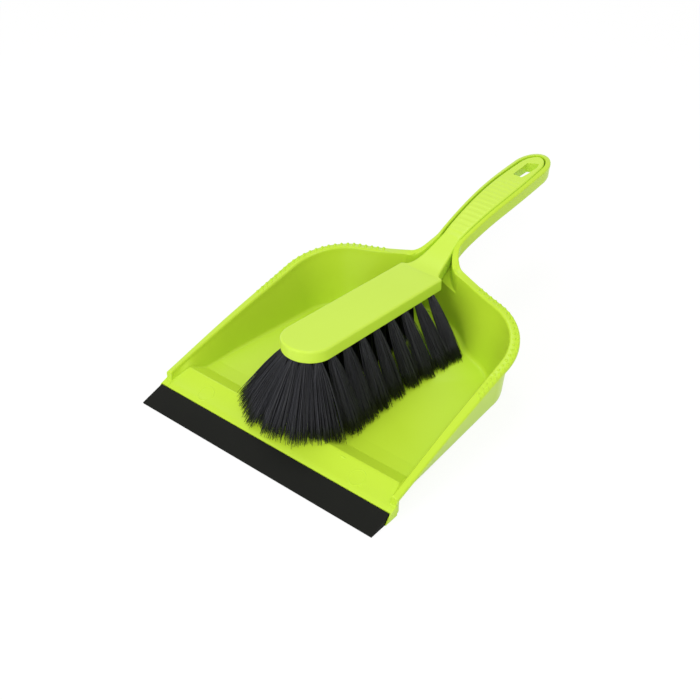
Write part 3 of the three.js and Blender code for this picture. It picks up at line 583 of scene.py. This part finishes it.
def scoop(drop):
    inner, sunk, turns = 12, 3, 120
    bottom = floor["height"] - sunk - drop
    top = floor["height"] + (floor["scoopRadius"] - inner) * floor["scoopSlope"] - drop
    profile = [(floor["scoopRadius"], bottom)]
    for k in range(13):
        t = k / 12
        r = floor["scoopRadius"] + (inner - floor["scoopRadius"]) * t
        profile.append((r, floor["height"] - drop + (floor["scoopRadius"] - r) * floor["scoopSlope"]))
    points, faces = [(0, floor["scoopY"], bottom), (0, floor["scoopY"], top)], []
    for r, z in profile:
        points += [(r * math.cos(2 * math.pi * k / turns), floor["scoopY"] + r * math.sin(2 * math.pi * k / turns), z)
                   for k in range(turns)]
    for k in range(turns):
        n = (k + 1) % turns
        faces.append((0, 2 + n, 2 + k))
        for j in range(len(profile) - 1):
            a, b = 2 + j * turns + k, 2 + j * turns + n
            faces.append((a, b, b + turns, a + turns))
        last = 2 + (len(profile) - 1) * turns
        faces.append((last + k, last + n, 1))
    return meshObject("scoop", points, faces)


def lipTongue():
    root = floor["lipDepth"] + fit + 1
    start, back, thick = floor["tongueStart"], floor["lipDepth"], floor["tongueThickness"]

    def top(y):
        return lipTop(y) - floor["tongueCover"] - fit

    return barAcross("tongue", [(start, top(start) - thick), (root, top(back) - thick), (root, top(back)),
                                (back, top(back)), (start, top(start))], floor["lipWidth"] / 2 - 2)


def undersideHollow():
    def foot(extra):
        return lambda s, y: flangeWidth(s, y) + outerLean(s, y) + extra + wall

    rings = [ringOf(bowlHalf, foot(1.8), lambda x, y, s, y0: -1),
             ringOf(bowlHalf, foot(0.2), lambda x, y, s, y0: 2.4),
             ringOf(bowlHalf, flangeWidth, lambda x, y, s, y0: rimHeight(y0) - bowl["bottomEdge"])]
    for k, ring in enumerate(rings):
        front = floor["lipDepth"] + fit + floor["standingEdge"] if k < 2 else rim["frontY"] + bowl["bottomEdge"]
        ring[0] = (ring[0][0], front, ring[0][2])
    return combine(loftHalves("hollow", rings, 12), panCavity(wall), "DIFFERENCE")


# Sweep of the rim's flange with its rolled outer edge, from one front end to the other.
def rimFlange():
    rolled, thick = rim["rolledEdge"], rim["flangeThickness"]
    normals = inwardNormals(rimHalf)
    stations = []
    for (x, y, s), normal in zip(rimHalf, normals):
        width, rise = flangeWidth(s, y), flangeRise(s)
        deep = width + 1.2    # far enough in to join the wall
        corners = [(deep, rise * deep / width), (0, -0.1), (0, -rolled), (min(1.6, 0.4 * width), -rolled),
                   (min(1.9, 0.5 * width), rise * 0.2 - thick), (deep, rise - thick - 0.8)]
        section = roundSection(corners, [0, 1.2, 0.45, 0.3, 0.3, 0], 7)
        base = rimHeight(y)
        stations.append([(0 if s >= 57 else x + normal[0] * move, y + normal[1] * move, base + up)
                         for move, up in section])
    stations += [[(-x, y, z) for x, y, z in ring] for ring in stations[-2::-1]]
    points = [p for ring in stations for p in ring]
    return meshObject("flange", points, tubeFaces(len(stations), len(stations[0])))


# Cuts the walls' front ends back to the ears, a little above the ramp.
def frontTrim():
    y, ear, clear, slant = floor["lipDepth"] + fit, 23.9, 0.25, 1.0
    foot, inner = (y, rampHeight(y) + clear), (ear, rampHeight(ear) + clear)
    head = (ear + slant, rimHeight(rim["frontY"]) + 0.4)
    section = [(-beyond, foot[1]), foot, inner, head, (head[0] + slant, head[1] + slant),
               (head[0] + slant, head[1] + beyond), (-beyond, head[1] + beyond)]
    return barAcross("frontTrim", roundSection(section, [0, 0, 1.5, 0.6, 0, 0, 0], 7), 140)


handleStart = 22    # station at which the hollow handle grows out of the bowl


def overTrough(up):
    return lambda x, y, s, y0: troughFloor(y) + up


def panHandleOuter():
    outline = [p for p in rimHalf if p[2] >= handleStart]

    def inset(extra):
        return lambda s, y: (blend(flangeWidth(s, y) - wall, 0.3, (s - handleStart - 2) / 13)
                             + blend(1.4, 0, (s - handleStart) / 4) + extra)

    rings, belly = [], 2.2    # rounding of the underside
    for k in range(6):
        a = math.radians(90 * k / 5)
        rings.append(ringOf(outline, inset(0.3 + belly * (1 - math.sin(a))),
                            overTrough(-wall + belly * (1 - math.cos(a)))))
    top = ringOf(outline, inset(0), lambda x, y, s, y0: rimHeight(y0) - 0.8)
    rings += mixRings(rings[-1], top, 3) + [top]
    return loftHalves("handle", rings, 10)


# The trough that the brush's handle lies in, rounded at its floor and chamfered at its top edge.
trough = {"floorRadius": 0.9, "edgeRadius": 0.9, "chamfer": 0.8, "chamferRun": 4, "reach": 18}


def handleTrough():
    outline = [p for p in rimHalf if p[2] >= 24]
    radius, edge = trough["floorRadius"], trough["edgeRadius"]

    def inset(extra):
        return lambda s, y: flangeWidth(s, y) + extra

    def chamfer(share):
        return lambda s, y: flangeWidth(s, y) - share * blend(0, trough["chamfer"], (s - 24) / trough["chamferRun"])

    def underEdge(drop):
        return lambda x, y, s, y0: rimHeight(y0) + flangeRise(s) - drop

    rings = [ringOf(outline, inset(radius * (1 - math.sin(a))), overTrough(radius * (1 - math.cos(a))))
             for a in (0, 0.4, 0.8, 1.2, 1.57)]
    top = ringOf(outline, inset(0), underEdge(edge))
    rings += mixRings(rings[-1], top, 3) + [top]
    for a in (0.35, 0.7, 1.0, 1.25):
        rings.append(ringOf(outline, chamfer(1 - math.cos(a)), underEdge(edge - 1.02 * math.sin(a))))
    rings.append(ringOf(outline, chamfer(0.69), underEdge(-20)))
    rings = [[(ring[0][0], ring[0][1] - trough["reach"], ring[0][2])] + ring for ring in rings]
    return loftHalves("trough", rings, 10)


# Straight-walled cutter through the handle, from the outline's corner points.
def slotCutter(corners, radius, low=-beyond, high=beyond):
    outline = roundSection(corners, radius, 6)
    base = rimHeight(corners[0][1])
    points = [(x, y, base + z) for z in (low, high) for x, y in outline]
    return meshObject("slot", points, tubeFaces(2, len(outline)))


# Thin cheeks that cover the rear of the rubber's ends, as (y, z) corners with a hair of room beside the rubber.
cheek = {"profile": [(25.0, 0.0), (13.5, 0.0), (18.2, 6.0), (19.5, 6.9), (25.0, 8.2)], "gap": 0.04, "inset": 0.05}


def lipCheek(side):
    inner, outer = floor["lipWidth"] / 2 + cheek["gap"], rim["frontHalfWidth"] - cheek["inset"]
    points = [(side * x, y, z) for x in (inner, outer) for y, z in cheek["profile"]]
    obj = meshObject("cheek", points, tubeFaces(2, len(cheek["profile"])))
    return withBmesh(obj, lambda bm: bmesh.ops.recalc_face_normals(bm, faces=bm.faces))


def buildPan(material):
    pan = panBowlOuter()
    for part in (panHandleOuter(), rimFlange(), lipTongue(), lipCheek(1), lipCheek(-1)):
        combine(pan, part, "UNION")
    for cutter in (panCavity(0), handleTrough(), undersideHollow(), frontTrim(),
                   slotCutter(hangHole["pan"], 2.5)):
        combine(pan, cutter, "DIFFERENCE")
    keepLargest(pan)
    pan.name = "moulded_pan"
    finish(pan, material)
    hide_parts("pan")
    return pan


# Two interleaved rows of low grip beads on the rim, round each rear corner.
beads = {"fromX": 38.0, "toY": 116.0, "pitch": 4.9, "insets": (1.7, 4.2), "radius": 1.25, "heights": (1.2, 0.75),
         "sunk": 0.4, "pointed": 1.4}


def rimBeads(material):
    normals = inwardNormals(rimHalf)
    path = [(p, n) for p, n in zip(rimHalf, normals)
            if p[2] <= 24 and p[1] >= beads["toY"] and p[0] >= beads["fromX"]]
    points, faces = [], []
    for row, move in enumerate(beads["insets"]):
        line = [Vector((p[0] + n[0] * move, p[1] + n[1] * move, 0)) for p, n in path]
        lengths = np.cumsum([0] + [(b - a).length for a, b in zip(line, line[1:])])
        distance = beads["pitch"] * (0.5 if row else 0)
        while distance < lengths[-1]:
            k = min(int(np.searchsorted(lengths, distance, "right")) - 1, len(line) - 2)
            t = (distance - lengths[k]) / (lengths[k + 1] - lengths[k])
            centre = line[k].lerp(line[k + 1], t)
            y, s = path[k][0][1:]
            centre.z = rimHeight(y + (path[k + 1][0][1] - y) * t) + flangeRise(s) * move / flangeWidth(s, y)
            forward = (line[k + 1] - line[k]).normalized()
            for side in (1, -1):
                addBead(points, faces, centre, forward, side, beads["heights"][row])
            distance += beads["pitch"]
    obj = meshObject("rim_grip_beads", points, faces)
    finish(obj, material, 60)
    return obj


def addBead(points, faces, centre, forward, side, height):
    turns, rings, sunk = 12, 4, beads["sunk"]
    across = Vector((-forward.y, forward.x, 0))
    base = len(points)
    for j in range(rings):
        a = math.pi / 2 * j / rings
        for k in range(turns):
            b = 2 * math.pi * k / turns
            r = beads["radius"] * math.cos(a) ** beads["pointed"]
            p = centre + forward * (r * math.cos(b)) + across * (r * math.sin(b))
            points.append((side * p.x, p.y, centre.z - sunk + (height + sunk) * math.sin(a)))
    points.append((side * centre.x, centre.y, centre.z + height))
    points.append((side * centre.x, centre.y, centre.z - sunk))
    made = domeFaces(rings, turns, base)
    faces.extend(made if side > 0 else [f[::-1] for f in made])


# Faint round ejector marks and the gate's scar on the ramp, as the mould leaves them.
marks = {"circles": ((-66.4, 27.9), (66.9, 28.4)), "radius": 5.6, "ridge": 0.35, "proud": 0.2,
         "gate": (49.0, 35.6), "gateLength": 5.5, "gateWidth": 1.1, "gateProud": 0.6, "sunk": 0.1}


def mouldMarks(material):
    points, faces = [], []
    turns, sides = 64, 8
    for cx, cy in marks["circles"]:
        base = len(points)
        for k in range(turns):
            a = 2 * math.pi * k / turns
            for j in range(sides):
                b = 2 * math.pi * j / sides
                r = marks["radius"] + marks["ridge"] * math.cos(b)
                x, y = cx + r * math.cos(a), cy + r * math.sin(a)
                points.append((x, y, rampHeight(y) + marks["proud"] * math.sin(b)))
        for k in range(turns):
            for j in range(sides):
                a, b = base + k * sides + j, base + k * sides + (j + 1) % sides
                c, d = base + (k + 1) % turns * sides + j, base + (k + 1) % turns * sides + (j + 1) % sides
                faces.append((a, c, d, b))
    gx, gy = marks["gate"]
    base, around, rings = len(points), 16, 4
    for j in range(rings):
        for k in range(around):
            a, b = math.pi / 2 * j / rings, 2 * math.pi * k / around
            x = gx + marks["gateLength"] / 2 * math.cos(a) * math.cos(b)
            y = gy + marks["gateWidth"] / 2 * math.cos(a) * math.sin(b)
            points.append((x, y, rampHeight(y) - marks["sunk"] + marks["gateProud"] * math.sin(a)))
    points += [(gx, gy, rampHeight(gy) + marks["gateProud"] - marks["sunk"]), (gx, gy, rampHeight(gy) - marks["sunk"])]
    faces += domeFaces(rings, around, base)
    obj = meshObject("mould_marks", points, faces)
    finish(obj, material, 60)
    return obj


# Black moulded rubber: matt, a soft sheen where the skin is smooth, and slightly paler clouds of bloom. Its pores are
# about 0.1 mm; they are drawn at 0.8 mm so that they show. Sizes and depths are in mm.
rubberLook = {"colour": "#10110e", "pale": "#161713", "poreSize": 0.8, "poreDepth": 0.06, "poreStrength": 0.25,
              "cloudSize": 30, "roughness": (0.52, 0.68), "specular": 0.1}


def mouldedRubber():
    look = rubberLook
    material = newMaterial("moulded rubber")
    place = addNode(material, "ShaderNodeTexCoord").outputs["Object"]
    pores = addNode(material, "ShaderNodeTexNoise", Vector=place, Scale=1 / (look["poreSize"] * mm), Detail=3.0)
    cloud = addNode(material, "ShaderNodeTexNoise", Vector=place, Scale=1 / (look["cloudSize"] * mm), Detail=2.0)
    tint = addNode(material, "ShaderNodeMix", {"data_type": "RGBA"}, Factor=cloud.outputs["Fac"],
                   _6=toLinear(look["colour"]), _7=toLinear(look["pale"]))
    rough = addNode(material, "ShaderNodeMapRange", Value=pores.outputs["Fac"], To_Min=look["roughness"][0],
                    To_Max=look["roughness"][1])
    bump = addNode(material, "ShaderNodeBump", Height=pores.outputs["Fac"], Strength=look["poreStrength"],
                   Distance=look["poreDepth"] * mm)
    shader = addNode(material, "ShaderNodeBsdfPrincipled", Base_Color=tint.outputs[2], IOR=1.52,
                     Roughness=rough.outputs["Result"], Normal=bump.outputs["Normal"])
    shader.inputs["Specular IOR Level"].default_value = look["specular"]
    addNode(material, "ShaderNodeOutputMaterial", Surface=shader.outputs["BSDF"])
    return material


# Bevels the lip's two ends, so that their edges aren't razor sharp.
def bevelLipEnds(bm):
    bevel = 0.3 * mm
    end = floor["lipWidth"] / 2 * mm
    tips = [v for v in bm.verts if abs(v.co.x) > end - 0.01 * mm]
    for side in (1, -1):
        ring = [v for v in tips if v.co.x * side > 0]
        cap = [f for f in bm.faces if all(v in ring for v in f.verts)]
        bmesh.ops.inset_region(bm, faces=cap, thickness=bevel, depth=0)
        for v in ring:
            v.co.x -= side * bevel


def buildLip(material):
    thick = floor["tongueThickness"] + 2 * fit
    slotFront, back = floor["tongueStart"] - fit, floor["lipDepth"]

    def slotTop(y):
        return lipTop(y) - floor["tongueCover"]

    section = [(0, 0), (back, 0), (back, lipTop(back)), (0, lipTop(0))]
    lip = barAcross("rubber_edge", roundSection(section, [0.2, 0.3, 0.35, 0.4], 5), floor["lipWidth"] / 2, 40)
    withBmesh(lip, bevelLipEnds)
    slot = [(back + 3, slotTop(back) - thick), (back + 3, slotTop(back)), (back, slotTop(back)),
            (slotFront, slotTop(slotFront)), (slotFront, slotTop(slotFront) - thick), (back, slotTop(back) - thick)]
    combine(lip, barAcross("lipSlot", slot, floor["lipWidth"] / 2 - 2 + fit), "DIFFERENCE")
    finish(lip, material)
    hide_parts("rubber_lip")
    return lip


def brushOutline():
    half, noseY, shoulder = brush["halfWidth"], brush["noseY"], brush["shoulderY"]
    nose = [(half * math.cos(a), noseY + half * math.sin(a))
            for a in (-math.pi / 2 + math.pi / 2 * k / 36 for k in range(37))]
    nose[0] = (0, nose[0][1])
    inner = (brush["neckHalfWidth"], shoulder + 1.4)
    sides = along(nose[-1], (half, shoulder - 3), 40)
    corner = roundedCorner(nose[-1], (half, shoulder), inner, brush["cornerRadius"], 9)
    normals = inwardNormals(rimHalf)
    handle = []
    for (x, y, s), n in zip(rimHalf, normals):
        if s >= 36:
            move = flangeWidth(s, y) + brush["nestGap"]
            handle.append((x + n[0] * move, y + n[1] * move))
    handle[-1] = (0, handle[-1][1])
    pullX, pullY = brush["neckPull"]
    bends = [Vector(inner), Vector((brush["neckHalfWidth"] + pullX, shoulder + pullY)),
             Vector(handle[0]) + Vector(brush["gripPull"]), Vector(handle[0])]
    neck, steps = [], 40
    for k in range(steps):
        t = k / steps
        p = (bends[0] * (1 - t) ** 3 + bends[1] * 3 * t * (1 - t) ** 2 + bends[2] * 3 * t * t * (1 - t)
             + bends[3] * t ** 3)
        neck.append(tuple(p))
    rows = [handle[0]]    # even, fine rows along the grip, so that the ribs come out round
    for a, b in zip(handle, handle[1:]):
        length = (Vector(b) - Vector(a)).length
        pieces = max(1, round(length / brush["ribRows"])) if b[1] < brush["ribsEnd"] else 1
        rows += along(a, b, pieces - 1) + [b]
    return [(x, y, 0) for x, y in nose + sides + corner + neck + rows]


# How much the grip's bowed ribs raise the top of the handle.
def ribLift(x, y, half):
    edge = min(max((half - brush["ribMargin"] - abs(x)) / brush["ribFade"], 0), 1)
    if edge == 0:
        return 0
    bowed = y - brush["ribBow"] * (1 - (x / half) ** 2)
    k = round((bowed - brush["ribFirst"]) / brush["ribPitch"])
    if not 0 <= k < brush["ribCount"]:
        return 0
    away = abs(bowed - brush["ribFirst"] - k * brush["ribPitch"]) / (brush["ribWidth"] / 2)
    return brush["ribHeight"] * edge * max(0, 1 - away ** brush["ribSquareness"])


def buildBrushBody(material):
    outline = brushOutline()
    ys = np.array([p[1] for p in outline if p[1] > 200])
    xs = np.array([p[0] for p in outline if p[1] > 200])

    def at(drop):
        return lambda x, y, s, y0: brushTop(y0) - drop

    def bottom(up):
        return lambda x, y, s, y0: brushUnderside(y0) + up

    low, high = brush["bottomRadius"], brush["topRadius"]
    rings = [ringOf(outline, lambda s, y, a=a: low * (1 - math.sin(a)), bottom(low * (1 - math.cos(a))))
             for a in (math.pi / 2 * k / 5 for k in range(6))]
    upper = ringOf(outline, lambda s, y: 0, at(high))
    rings += mixRings(rings[-1], upper, 3) + [upper]
    for k in range(1, 9):
        a = math.pi / 2 * k / 8
        rings.append(ringOf(outline, lambda s, y, a=a: high * (1 - math.cos(a)), at(high * (1 - math.sin(a)))))

    def topSurface(x, y, z):
        half = float(np.interp(y, ys, xs)) if y > 210 else 0
        return z + (ribLift(x, y, half) if half > 3 else 0)

    body = loftHalves("brush_block", rings, 28, topSurface)
    combine(body, tuftHoles(), "DIFFERENCE")
    combine(body, slotCutter(hangHole["brush"], 0.8), "DIFFERENCE")
    combine(body, slotCutter(hangHole["pocket"], 3.0, high=hangHole["pocketTop"]), "DIFFERENCE")
    keepLargest(body)
    body.name = "brush_block"
    finish(body, material, 38, "brush")
    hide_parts("brush_body")
    return body


tufting = {"holeRadius": 2.25, "holeDepth": 6, "inset": 5.4, "perSide": 8, "firstY": 67.1, "pitch": 15.7,
           "middleTufts": 7, "sideTipX": 35.0, "flareFrom": 122, "flare": 0.17,
           "tipRows": [(67.1, 66.3), (98.5, 96.3), (129.9, 130.0), (161.3, 158.6), (177, 169.6)],
           "noseTips": ((-38.5, 40.5), (-26.0, 31.0), (-6.0, 27.5), (16.0, 32.0), (31.0, 43.5)),
           "noseSpread": (7.2, 11.5), "cornerSpread": (5.6, 8.6), "sideSpread": (5.0, 7.3),
           "lastSpread": (5.0, 6.0), "middleSpread": (8.0, 9.5)}
# Real filaments are about 0.3 mm thick; they are drawn at 0.46 mm so that they show.
bristle = {"perTuft": 280, "diameter": 0.46, "sides": 3, "steps": 6, "rootSpread": 1.8, "floorGap": 0.45,
           "raggedness": 0.035, "scatter": 0.13, "sag": (0.5, 0.6), "shortShare": 0.08, "shortBy": 0.08,
           "fanOut": 0.62, "tipShare": 0.55}


# One row for each tuft: its root's x and y, its tip's x and y, and how far its filaments spread out and sideways.
def tuftPlan():
    holeX = brush["halfWidth"] - tufting["inset"]
    spreads = ["cornerSpread"] * 2 + ["sideSpread"] * (tufting["perSide"] - 3) + ["lastSpread"]
    plan = []
    for side in (1, -1):
        for i, spread in enumerate(spreads):
            y = tufting["firstY"] + i * tufting["pitch"]
            tipX = tufting["sideTipX"] + max(0, y - tufting["flareFrom"]) * tufting["flare"]
            plan.append((side * holeX, y, side * tipX, swept(y), *tufting[spread]))
    for i, (tipX, tipY) in enumerate(tufting["noseTips"]):
        a = math.pi * ((i + 0.75) / (len(tufting["noseTips"]) + 0.5)) + math.pi
        plan.append((holeX * math.cos(a), brush["noseY"] + holeX * math.sin(a), tipX, tipY, *tufting["noseSpread"]))
    for i in range(tufting["middleTufts"]):
        y = tufting["firstY"] + (i + 0.5) * tufting["pitch"]
        plan.append((0, y, 0, swept(y), *tufting["middleSpread"]))
    return plan


# The tips stand nearly under their roots, and the pan's back wall holds the last ones forward.
def swept(y):
    return lookUp(y, tufting["tipRows"])


def tuftFrame(tuft):
    x, y, tipX, tipY = tuft[:4]
    root = Vector((x, y, brushUnderside(y)))
    tip = Vector((tipX, tipY, panSurface(tipX, tipY) + bristle["floorGap"]))
    axis = (tip - root).normalized()
    outward = Vector((tipX, tipY - brush["noseY"] if y < brush["noseY"] else 0, 0))
    if outward.length < 1:
        outward = Vector((1, 0, 0))
    sideways = axis.cross(outward).normalized()
    return root, tip, axis, sideways.cross(axis).normalized(), sideways


def tuftHoles():
    points, faces = [], []
    turns, past = 20, 3
    for tuft in tuftPlan():
        root, _, axis, across, sideways = tuftFrame(tuft)
        base = len(points)
        for distance in (-tufting["holeDepth"], past):
            for k in range(turns):
                a = 2 * math.pi * k / turns
                points.append(tuple(root + axis * distance + across * (tufting["holeRadius"] * math.cos(a))
                                    + sideways * (tufting["holeRadius"] * math.sin(a))))
        faces += tubeFaces(2, turns, base)
    holes = meshObject("tuftHoles", points, faces)
    return withBmesh(holes, lambda bm: bmesh.ops.recalc_face_normals(bm, faces=bm.faces))


# Drawn polyester filament: charcoal, slightly glossy, each strand a little lighter or darker than the next.
filamentLook = {"dark": "#0d0e10", "pale": "#2d2e35", "roughness": 0.42}


def drawnFilament():
    look = filamentLook
    material = newMaterial("drawn polyester filament")
    strand = addNode(material, "ShaderNodeNewGeometry").outputs["Random Per Island"]
    tint = addNode(material, "ShaderNodeMix", {"data_type": "RGBA"}, Factor=strand,
                   _6=toLinear(look["dark"]), _7=toLinear(look["pale"]))
    shader = addNode(material, "ShaderNodeBsdfPrincipled", Base_Color=tint.outputs[2], IOR=1.53,
                     Roughness=look["roughness"])
    addNode(material, "ShaderNodeOutputMaterial", Surface=shader.outputs["BSDF"])
    return material


def buildTuft(number, tuft, material):
    seed = random.Random(number * 17)
    root, tip, axis, across, sideways = tuftFrame(tuft)
    outward = Vector((across.x, across.y, 0)).normalized()
    beside = Vector((-outward.y, outward.x, 0))
    inHole = (tufting["holeDepth"] - 2.0) / (tip - root).length    # the anchor has the last 2 mm of the hole
    goldenAngle = math.pi * (3 - math.sqrt(5))
    points, faces = [], []
    for f in range(bristle["perTuft"]):
        share, angle = math.sqrt((f + 0.5) / bristle["perTuft"]), f * goldenAngle
        u, v = share * math.cos(angle), share * math.sin(angle)
        start = (across * u + sideways * v) * bristle["rootSpread"]
        end = (outward * (tuft[4] * (u + seed.gauss(0, bristle["scatter"])))
               + beside * (tuft[5] * (math.copysign(1, sideways.dot(beside)) * v
                                      + seed.gauss(0, bristle["scatter"]))))
        foot = tip + end
        end.z = panSurface(foot.x, foot.y) + bristle["floorGap"] - tip.z
        sag = across * seed.gauss(0, bristle["sag"][0]) + sideways * seed.gauss(0, bristle["sag"][1])
        reach = 1 - abs(seed.gauss(0, bristle["raggedness"]))
        if seed.random() < bristle["shortShare"]:
            reach -= bristle["shortBy"] * seed.random()
        path = [root - axis * (inHole * (tip - root).length) + start]
        for k in range(bristle["steps"]):
            t = reach * (k + 0.15) / (bristle["steps"] - 0.85)
            grown = t ** bristle["fanOut"]
            path.append(root + (tip - root) * t + start * (1 - grown) + end * grown + sag * math.sin(math.pi * t))
        addStrand(points, faces, path)
    obj = meshObject(f"bristles_{number:02d}", points, faces)
    obj.data.shade_smooth()
    obj.data.materials.append(material)
    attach(obj, "brush")
    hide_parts(f"tuft_{number:02d}")
    return obj


def addStrand(points, faces, path):
    sides, base = bristle["sides"], len(points)
    forward = (path[-1] - path[0]).normalized()
    u = forward.cross(Vector((0.3, 0.9, 0.1))).normalized()
    v = forward.cross(u)
    for k, p in enumerate(path):
        radius = bristle["diameter"] / 2 * (1 if k < len(path) - 1 else bristle["tipShare"])
        for j in range(sides):
            a = 2 * math.pi * j / sides
            points.append(tuple(p + u * (radius * math.cos(a)) + v * (radius * math.sin(a))))
    faces.extend(tubeFaces(len(path), sides, base))


# Steel wire, drawn and rolled flat: bright, with fine drawing marks that blur its shine.
wireLook = {"colour": "#b9bbbd", "markSize": 0.2, "roughness": (0.25, 0.45)}


def drawnSteelWire():
    look = wireLook
    material = newMaterial("drawn steel wire")
    place = addNode(material, "ShaderNodeTexCoord").outputs["Object"]
    drawing = addNode(material, "ShaderNodeTexNoise", Vector=place, Scale=1 / (look["markSize"] * mm), Detail=2.0)
    rough = addNode(material, "ShaderNodeMapRange", Value=drawing.outputs["Fac"], To_Min=look["roughness"][0],
                    To_Max=look["roughness"][1])
    shader = addNode(material, "ShaderNodeBsdfPrincipled", Base_Color=toLinear(look["colour"]), Metallic=1.0,
                     Roughness=rough.outputs["Result"])
    addNode(material, "ShaderNodeOutputMaterial", Surface=shader.outputs["BSDF"])
    return material


# White paper floor and a white room. Lamps are (name, place, target, size, watts), in metres.
studio = {
    "lamps": [("key softbox", (0.7, -0.6, 1.3), (0, 0, 0.03), 0.5, 6.0),
              ("top softbox", (-0.45, 0.5, 1.5), (0, 0, 0.03), 0.6, 4.0),
              ("front fill", (-0.15, -1.5, 0.7), (0, 0, 0.05), 1.0, 7.8)],
    "roomLight": 0.62, "white": (1, 1, 1, 1), "paper": "#f4f4f2", "paperHalfWidth": 6, "paperGlow": 1.03,
    "glowShare": 0.86,
}


# 1 for rays from the camera, and for those that metal, gloss or glass sends on; 0 for the light that falls on things.
def seenRays(owner):
    path = addNode(owner, "ShaderNodeLightPath")
    mirrored = addNode(owner, "ShaderNodeMath", {"operation": "MAXIMUM"}, _0=path.outputs["Is Glossy Ray"],
                       _1=path.outputs["Is Transmission Ray"])
    seen = addNode(owner, "ShaderNodeMath", {"operation": "MAXIMUM"}, _0=path.outputs["Is Camera Ray"],
                   _1=mirrored.outputs[0])
    return seen.outputs[0]


def buildStage():
    data = bpy.data.meshes.new("paper")
    size = studio["paperHalfWidth"]
    data.from_pydata([(-size, -size, 0), (size, -size, 0), (size, size, 0), (-size, size, 0)], [], [(0, 1, 2, 3)])
    paper = bpy.data.objects.new("paper_floor", data)
    bpy.context.scene.collection.objects.link(paper)
    material = newMaterial("white paper")
    share = addNode(material, "ShaderNodeMath", {"operation": "MULTIPLY"}, _0=seenRays(material),
                    _1=studio["glowShare"])
    sheet = addNode(material, "ShaderNodeBsdfDiffuse", Color=toLinear(studio["paper"]))
    glow = addNode(material, "ShaderNodeEmission", Color=studio["white"], Strength=studio["paperGlow"])
    mix = addNode(material, "ShaderNodeMixShader", _0=share.outputs[0], _1=sheet.outputs[0], _2=glow.outputs[0])
    addNode(material, "ShaderNodeOutputMaterial", Surface=mix.outputs[0])
    data.materials.append(material)


def addLamp(name, place, target, size, watts):
    data = bpy.data.lights.new(name, "AREA")
    data.shape = "DISK"
    data.size = size
    data.energy = watts
    lamp = bpy.data.objects.new(name, data)
    lamp.location = place
    lamp.rotation_euler = (Vector(target) - Vector(place)).to_track_quat("-Z", "Y").to_euler()
    bpy.context.scene.collection.objects.link(lamp)


def lightScene():
    for lamp in studio["lamps"]:
        addLamp(*lamp)
    world = bpy.data.worlds.new("studio")
    world.use_nodes = True
    world.node_tree.nodes.clear()
    lit = addNode(world, "ShaderNodeBackground", Color=studio["white"], Strength=studio["roomLight"])
    shown = addNode(world, "ShaderNodeBackground", Color=studio["white"], Strength=1.0)
    mix = addNode(world, "ShaderNodeMixShader", _0=seenRays(world), _1=lit.outputs[0], _2=shown.outputs[0])
    addNode(world, "ShaderNodeOutputWorld", Surface=mix.outputs[0])
    bpy.context.scene.world = world


cameraView = {"place": (0.3994, -0.5597, 0.5108), "azimuth": 39.2, "elevation": 37.03, "lens": 59.14}


def placeCamera():
    view = cameraView
    a, e = math.radians(view["azimuth"]), math.radians(view["elevation"])
    forward = Vector((-math.sin(a) * math.cos(e), math.cos(a) * math.cos(e), -math.sin(e)))
    data = bpy.data.cameras.new("camera")
    data.lens = view["lens"]
    data.sensor_width = 36
    data.clip_start = 0.01
    camera = bpy.data.objects.new("camera", data)
    camera.location = view["place"]
    camera.rotation_euler = forward.to_track_quat("-Z", "Y").to_euler()
    bpy.context.scene.collection.objects.link(camera)
    bpy.context.scene.camera = camera


placeCamera()
lightScene()
buildStage()
print("stage, lamps and camera placed")

panPlastic = mouldedPolypropylene(panLook)
brushPlastic = mouldedPolypropylene(brushLook)
print("plastics mixed")
pan = buildPan(panPlastic)
print("pan:", len(pan.data.polygons), "faces")
rimBeads(panPlastic)
print("grip beads on the rim")
mouldMarks(panPlastic)
print("mould marks on the ramp")
lip = buildLip(mouldedRubber())
print("rubber lip:", len(lip.data.polygons), "faces")
block = buildBrushBody(brushPlastic)
print("brush block:", len(block.data.polygons), "faces")
filament = drawnFilament()
for number, tuft in enumerate(tuftPlan(), 1):
    buildTuft(number, tuft, filament)
print("tufts:", len(tuftPlan()))
wire = drawnSteelWire()
for name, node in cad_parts.items():
    if name.startswith("tuft_anchor_"):
        node.data.materials.clear()
        node.data.materials.append(wire)
print("tuft anchors given their wire")

bpy.context.scene.view_settings.view_transform = "Standard"
print("done")
